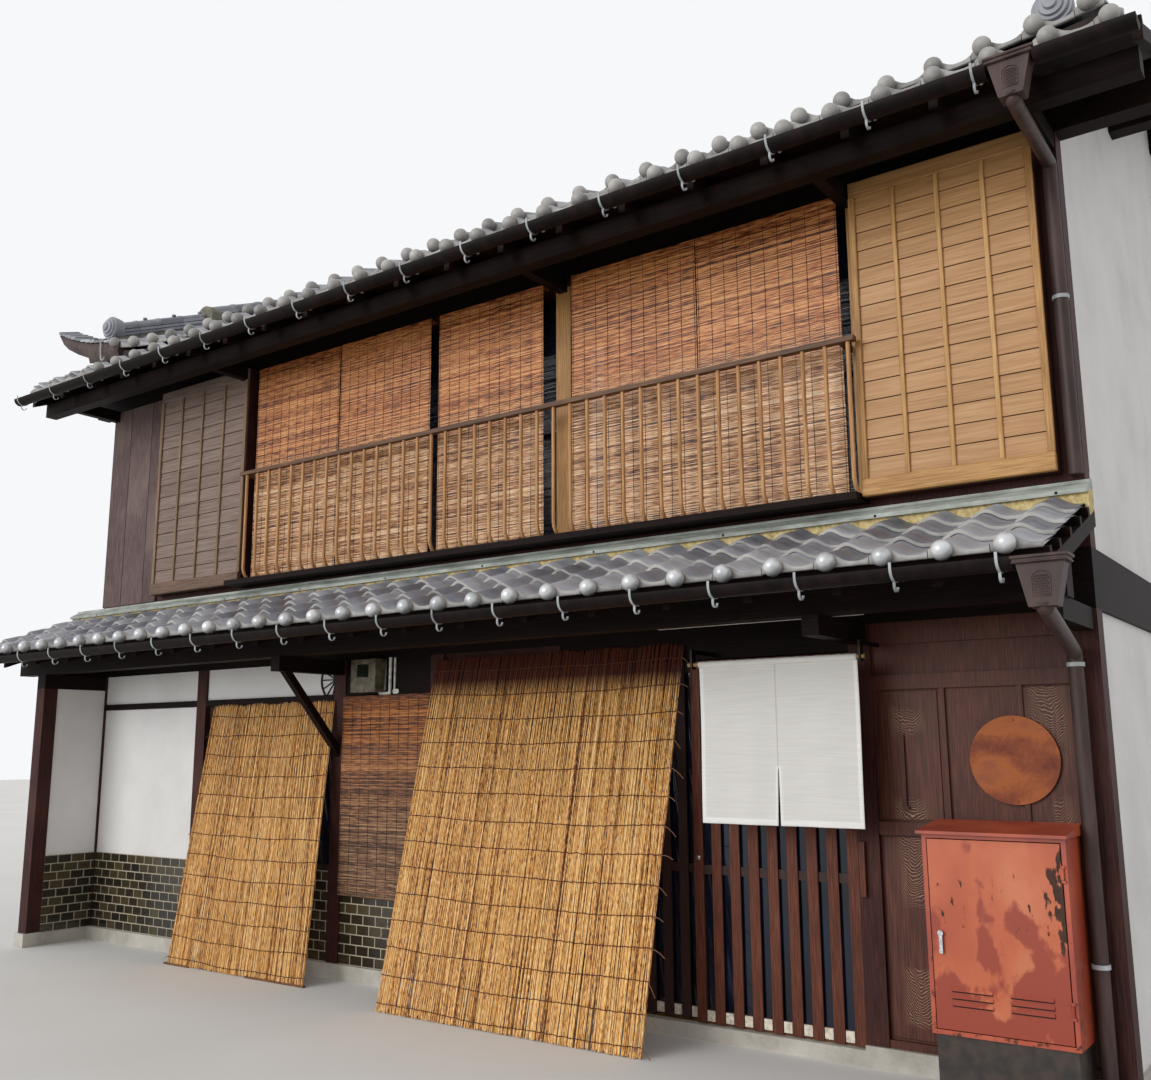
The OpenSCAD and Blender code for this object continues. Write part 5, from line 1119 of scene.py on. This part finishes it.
bed_wood = timber("dark_cedar_bed_board", "15100d 271c17 3b2c24", "x", roughness=0.7)
field_bed, rings = Pile(), []
field_right = spread(field_n - 1, 0.072)
y0, y1 = field_y0 + 0.004, ridge_y
for x in (verge_x, *np.arange(-3.3, -1.35, 0.1), *np.arange(3.2, 4.55, 0.15), field_right - 0.004):
    low, high = 0.0005, 0.018 + sweep(x)
    rings.append([(x, y, main_z(y) + up) for y, up in ((y0, low), (y1, low), (y1, high), (y0, high))])
field_bed.loft(rings, 0.2)
both_slopes(field_bed)
field_bed.make("swept_roof_bed", "dark_timber", bed_wood)


# Swept corner of the upper eave
# A hollow corner piece of brown sheet, shaped like a boat's stem, goes on from the eave's curve and
# ends in a point. Short flat tiles step up along it, and a white hook holds it.

corner_sheet = coated("dusty_brown_corner_sheet", "2f2422 473936 5f4f4c", 0.6, sheen=0.3)
upper_line = [(-4.225, 5.325), (-4.123, 5.279), (-4.028, 5.238), (-3.86, 5.176), (-3.70, 5.13), (-3.56, 5.1),
              (-3.40, 5.07), (-3.25, 5.05)]
lower_line = [(-4.218, 5.306), (-4.16, 5.222), (-4.069, 5.154), (-3.90, 5.071), (-3.734, 5.004),
              (-3.709, 4.948), (-3.436, 4.91), (-3.25, 4.90)]
corner, rings = Pile(), []
for (xa, za), (xb, zb) in zip(upper_line, lower_line):
    x_mid = (xa + xb) / 2
    belly = 0.016 * min(1.0, (x_mid + 4.22) / 0.2)
    rings.append([(xa, -0.605, za), (x_mid, -0.612 - belly, (za + zb) / 2), (xb, -0.6, zb),
                  (xb, -0.46, zb + 0.05), (xa, -0.46, za + 0.05)])
corner.loft(rings)
for (xa, za), (xb, zb) in zip(upper_line[:-2], upper_line[1:]):
    for part in (0.0, 0.5):
        x0, x1 = (xa + (xb - xa) * share for share in (part, part + 0.5))
        z0, z1 = (za + (zb - za) * share for share in (part, part + 0.5))
        tall = 0.02 + 0.012 * chance.random()
        corner.loft([[(x, y, z + up + (y + 0.62) * 0.33)
                      for y, up in ((-0.62, 0.0), (-0.45, 0.0), (-0.45, tall), (-0.62, tall))]
                     for x, z in ((x0 + 0.002, z0), (x1 - 0.002, z1 + 0.008))], chance.random(), 1)
corner.rod([(-3.505, -0.632, 5.085), (-3.49, -0.64, 5.03), (-3.47, -0.646, 4.965), (-3.455, -0.65, 4.925),
            (-3.435, -0.652, 4.905), (-3.41, -0.652, 4.91), (-3.397, -0.65, 4.93)], 0.0065, 8, kind=2)
both_slopes(corner)
corner.make("swept_eave_corner", "pipe_brown", corner_sheet, smoked, zinc_bar, smooth=35)


# Ridges
# Layers of flat ridge tile, each a little narrower, with a round tile over them; each length is
# 270 mm and laps the one below. The roll near the street ends in a ringed drum, with three knobs
# along it, and a large round end tile closes the ridge above.

mossy = mottled("mossy_ridge_tile", 0.72, 9.0, [(0.32, "4b4c46"), (0.5, "6d6a5c"), (0.62, "857c62"),
                                                (0.78, "8f9088")], 8.0, 0.65, bump=(0.4, 0.0015))
ridge = Pile()


def ridge_run(path, side, w, h, layers, cap_w):
    """A ridge along the path of its foot's middle. side is across it; layers are its flat tiles."""
    side, path, up = np.asarray(side, float), np.asarray(path, float), np.array([0.0, 0.0, 1.0])
    cap_h = cap_w / 2
    flat_h = h - cap_h * 1.02
    thick = flat_h / layers
    for a, b in zip(path, path[1:]):
        gap = (b - a) / np.linalg.norm(b - a) * 0.0012
        a, b = a + gap, b - gap
        tone = chance.random()
        for k in range(layers):
            half = w / 2 * (1 - 0.16 * k / max(1, layers - 1))
            for inset, lo, hi in ((0.0, k + 0.28, k + 1), (0.012, k, k + 0.3)):
                outline = [(s * (half - inset), z * thick) for s, z in ((-1, lo), (1, lo), (1, hi), (-1, hi))]
                ridge.loft([[p + side * s + up * z for s, z in outline] for p in (a, b)],
                           0.0 if inset else chance.random())
        rings = []
        for share, r in ((0.0, cap_h), (0.86, cap_h), (0.87, cap_h * 1.1), (0.99, cap_h * 1.1)):
            middle = a + (b - a) * share + up * flat_h
            rings.append([middle + side * r * math.cos(q) + up * r * math.sin(q)
                          for q in np.linspace(0, math.pi, 13)])
        ridge.loft(rings, tone)


for x, start, turn_y, small in ((-3.41, -0.585, 0.29, 0.142), (field_right - 0.28, -0.27, 0.71, 0.15)):
    lift = sweep(x) + 0.122
    for y0, y1, n, *sizes in ((start, turn_y, 5, 0.15, small, 3, 0.09),
                              (turn_y + 0.07, 3.485, 12, 0.21, 0.2, 4, 0.13)):
        ridge_run([(x, y, main_z(y) + lift) for y in np.linspace(y0, y1, n)], (1, 0, 0), *sizes)
    # Mortar in the hollows under both runs
    for y0, y1, half in ((start + 0.005, turn_y, 0.06), (turn_y, 3.485, 0.085)):
        low = 0.02 + sweep(x + half)
        ridge.loft([[(xx, y, main_z(y) + z) for y, z in ((y0, low), (y1, low), (y1, lift), (y0, lift))]
                    for xx in (x - half, x + half)], 0.3, 1)
    # The drum's end faces the street: two raised rings round a boss
    turned(ridge, (x, start + 0.06, main_z(start) + lift + 0.094), (0, -1, 0),
           [(0.0, 0.092), (0.035, 0.098), (0.07, 0.1), (0.082, 0.102), (0.09, 0.097), (0.09, 0.082),
            (0.104, 0.08), (0.108, 0.076), (0.108, 0.06), (0.122, 0.057), (0.126, 0.036), (0.14, 0.03),
            (0.142, 0.0005)])
    turned(ridge, (x, turn_y + 0.24, main_z(turn_y + 0.1) + lift + 0.07), (0, -1, 0),
           [(0.0, 0.07), (0.02, 0.1), (0.06, 0.118), (0.16, 0.122), (0.2, 0.118), (0.205, 0.1), (0.196, 0.08),
            (0.196, 0.05), (0.205, 0.042), (0.206, 0.0005)], kind=1)
    for share in (0.33, 0.66, 0.97):
        y = start + share * (turn_y - start) + 0.014
        turned(ridge, (x, y, main_z(y) + lift + small - 0.001), (0, 0, 1),
               [(0.0, 0.013), (0.004, 0.018), (0.012, 0.02), (0.02, 0.016), (0.026, 0.0005)], 14)
both_slopes(ridge)
top_z = main_z(ridge_y) + 0.112
xs = [*np.arange(verge_x + 0.06, field_right - 0.1, 0.276), field_right - 0.03]
top = [(x, ridge_y, top_z + sweep(x)) for x in xs]
ridge_run(top, (0, 1, 0), 0.3, 0.23, 4, 0.15)


def bedding(ends, half, low, high):
    """Mortar under a ridge between its two ends."""
    ridge.loft([[(x, y + side * half, z + up) for side, up in ((-1, low), (1, low), (1, high), (-1, high))]
                for x, y, z in ends], 0.3, 1)


for ends in zip(top, top[1:]):
    bedding(ends, 0.12, -0.14, 0.0)
for (x, y, z), way in ((top[0], -1), (top[-1], 1)):
    turned(ridge, (x, y, z + 0.175), (way, 0, 0), [(0.0, 0.155), (0.03, 0.163), (0.04, 0.16), (0.036, 0.13),
                                                   (0.036, 0.07), (0.045, 0.06), (0.045, 0.0005)], kind=1)
# The wing's short ridge, lower than the other
low_top = [(x, ridge_y, main_z(ridge_y) + 0.075) for x in np.linspace(main_x0 + 0.03, verge_x - 0.002, 4)]
ridge_run(low_top, (0, 1, 0), 0.24, 0.12, 2, 0.12)
bedding((low_top[0], low_top[-1]), 0.09, -0.105, 0.0)
ridge.make("stacked_ridges", "roof_tile", smoked, mossy, replaces="ridges", smooth=45)


# Studio
# A pale floor and plain soft light. The camera stands where the photograph was taken from.

floor_mesh = bpy.data.meshes.new("studio_floor")
floor_mesh.from_pydata([(-60, -60, 0), (60, -60, 0), (60, 60, 0), (-60, 60, 0)], [], [(0, 1, 2, 3)])
floor = bpy.data.objects.new("studio_floor", floor_mesh)
bpy.context.collection.objects.link(floor)
floor_mesh.materials.append(mottled("pale_floor", 0.9, 0.6, [(0.3, "dcdad6"), (0.7, "e2e0dc")]))
floor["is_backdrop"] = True

world = bpy.data.worlds.new("studio_world")
bpy.context.scene.world = world
world.use_nodes = True
tree = world.node_tree
tree.nodes.clear()
ray = tree.nodes.new("ShaderNodeLightPath").outputs
seen = add("Math MAXIMUM", ray["Is Camera Ray"], ray["Is Glossy Ray"])
seen = add("Math MAXIMUM", seen, ray["Is Transmission Ray"])
sky = add("Background", Color=srgb("f7f8fa"), Strength=add("MapRange", seen, To_Min=0.78, To_Max=1.0))
add("OutputWorld", Surface=sky)

sun = bpy.data.lights.new("soft_key", "SUN")
sun.energy, sun.angle = 1.6, math.radians(35)
sun_object = bpy.data.objects.new("soft_key", sun)
sun_object.rotation_euler = (math.radians(72), 0.0, math.radians(-20))
bpy.context.collection.objects.link(sun_object)

yaw, pitch_up, rolled = math.radians(35.886), math.radians(10.427), math.radians(-0.290)
level_right = Vector((math.cos(yaw), math.sin(yaw), 0.0))
ahead = Vector((-math.sin(yaw) * math.cos(pitch_up), math.cos(yaw) * math.cos(pitch_up), math.sin(pitch_up)))
above = level_right.cross(ahead)
right_way = level_right * math.cos(rolled) + above * math.sin(rolled)
up_way = above * math.cos(rolled) - level_right * math.sin(rolled)
lens = bpy.data.cameras.new("camera")
lens.sensor_fit, lens.sensor_width, lens.lens, lens.clip_end = "HORIZONTAL", 36.0, 35.48, 300.0
camera = bpy.data.objects.new("camera", lens)
bpy.context.collection.objects.link(camera)
turn = Matrix((right_way, up_way, -ahead)).transposed().to_4x4()
camera.matrix_world = Matrix.Translation((5.3455, -5.8288, 1.5897)) @ turn
bpy.context.scene.camera = camera
bpy.context.scene.view_settings.view_transform = "Standard"

lo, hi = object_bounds()
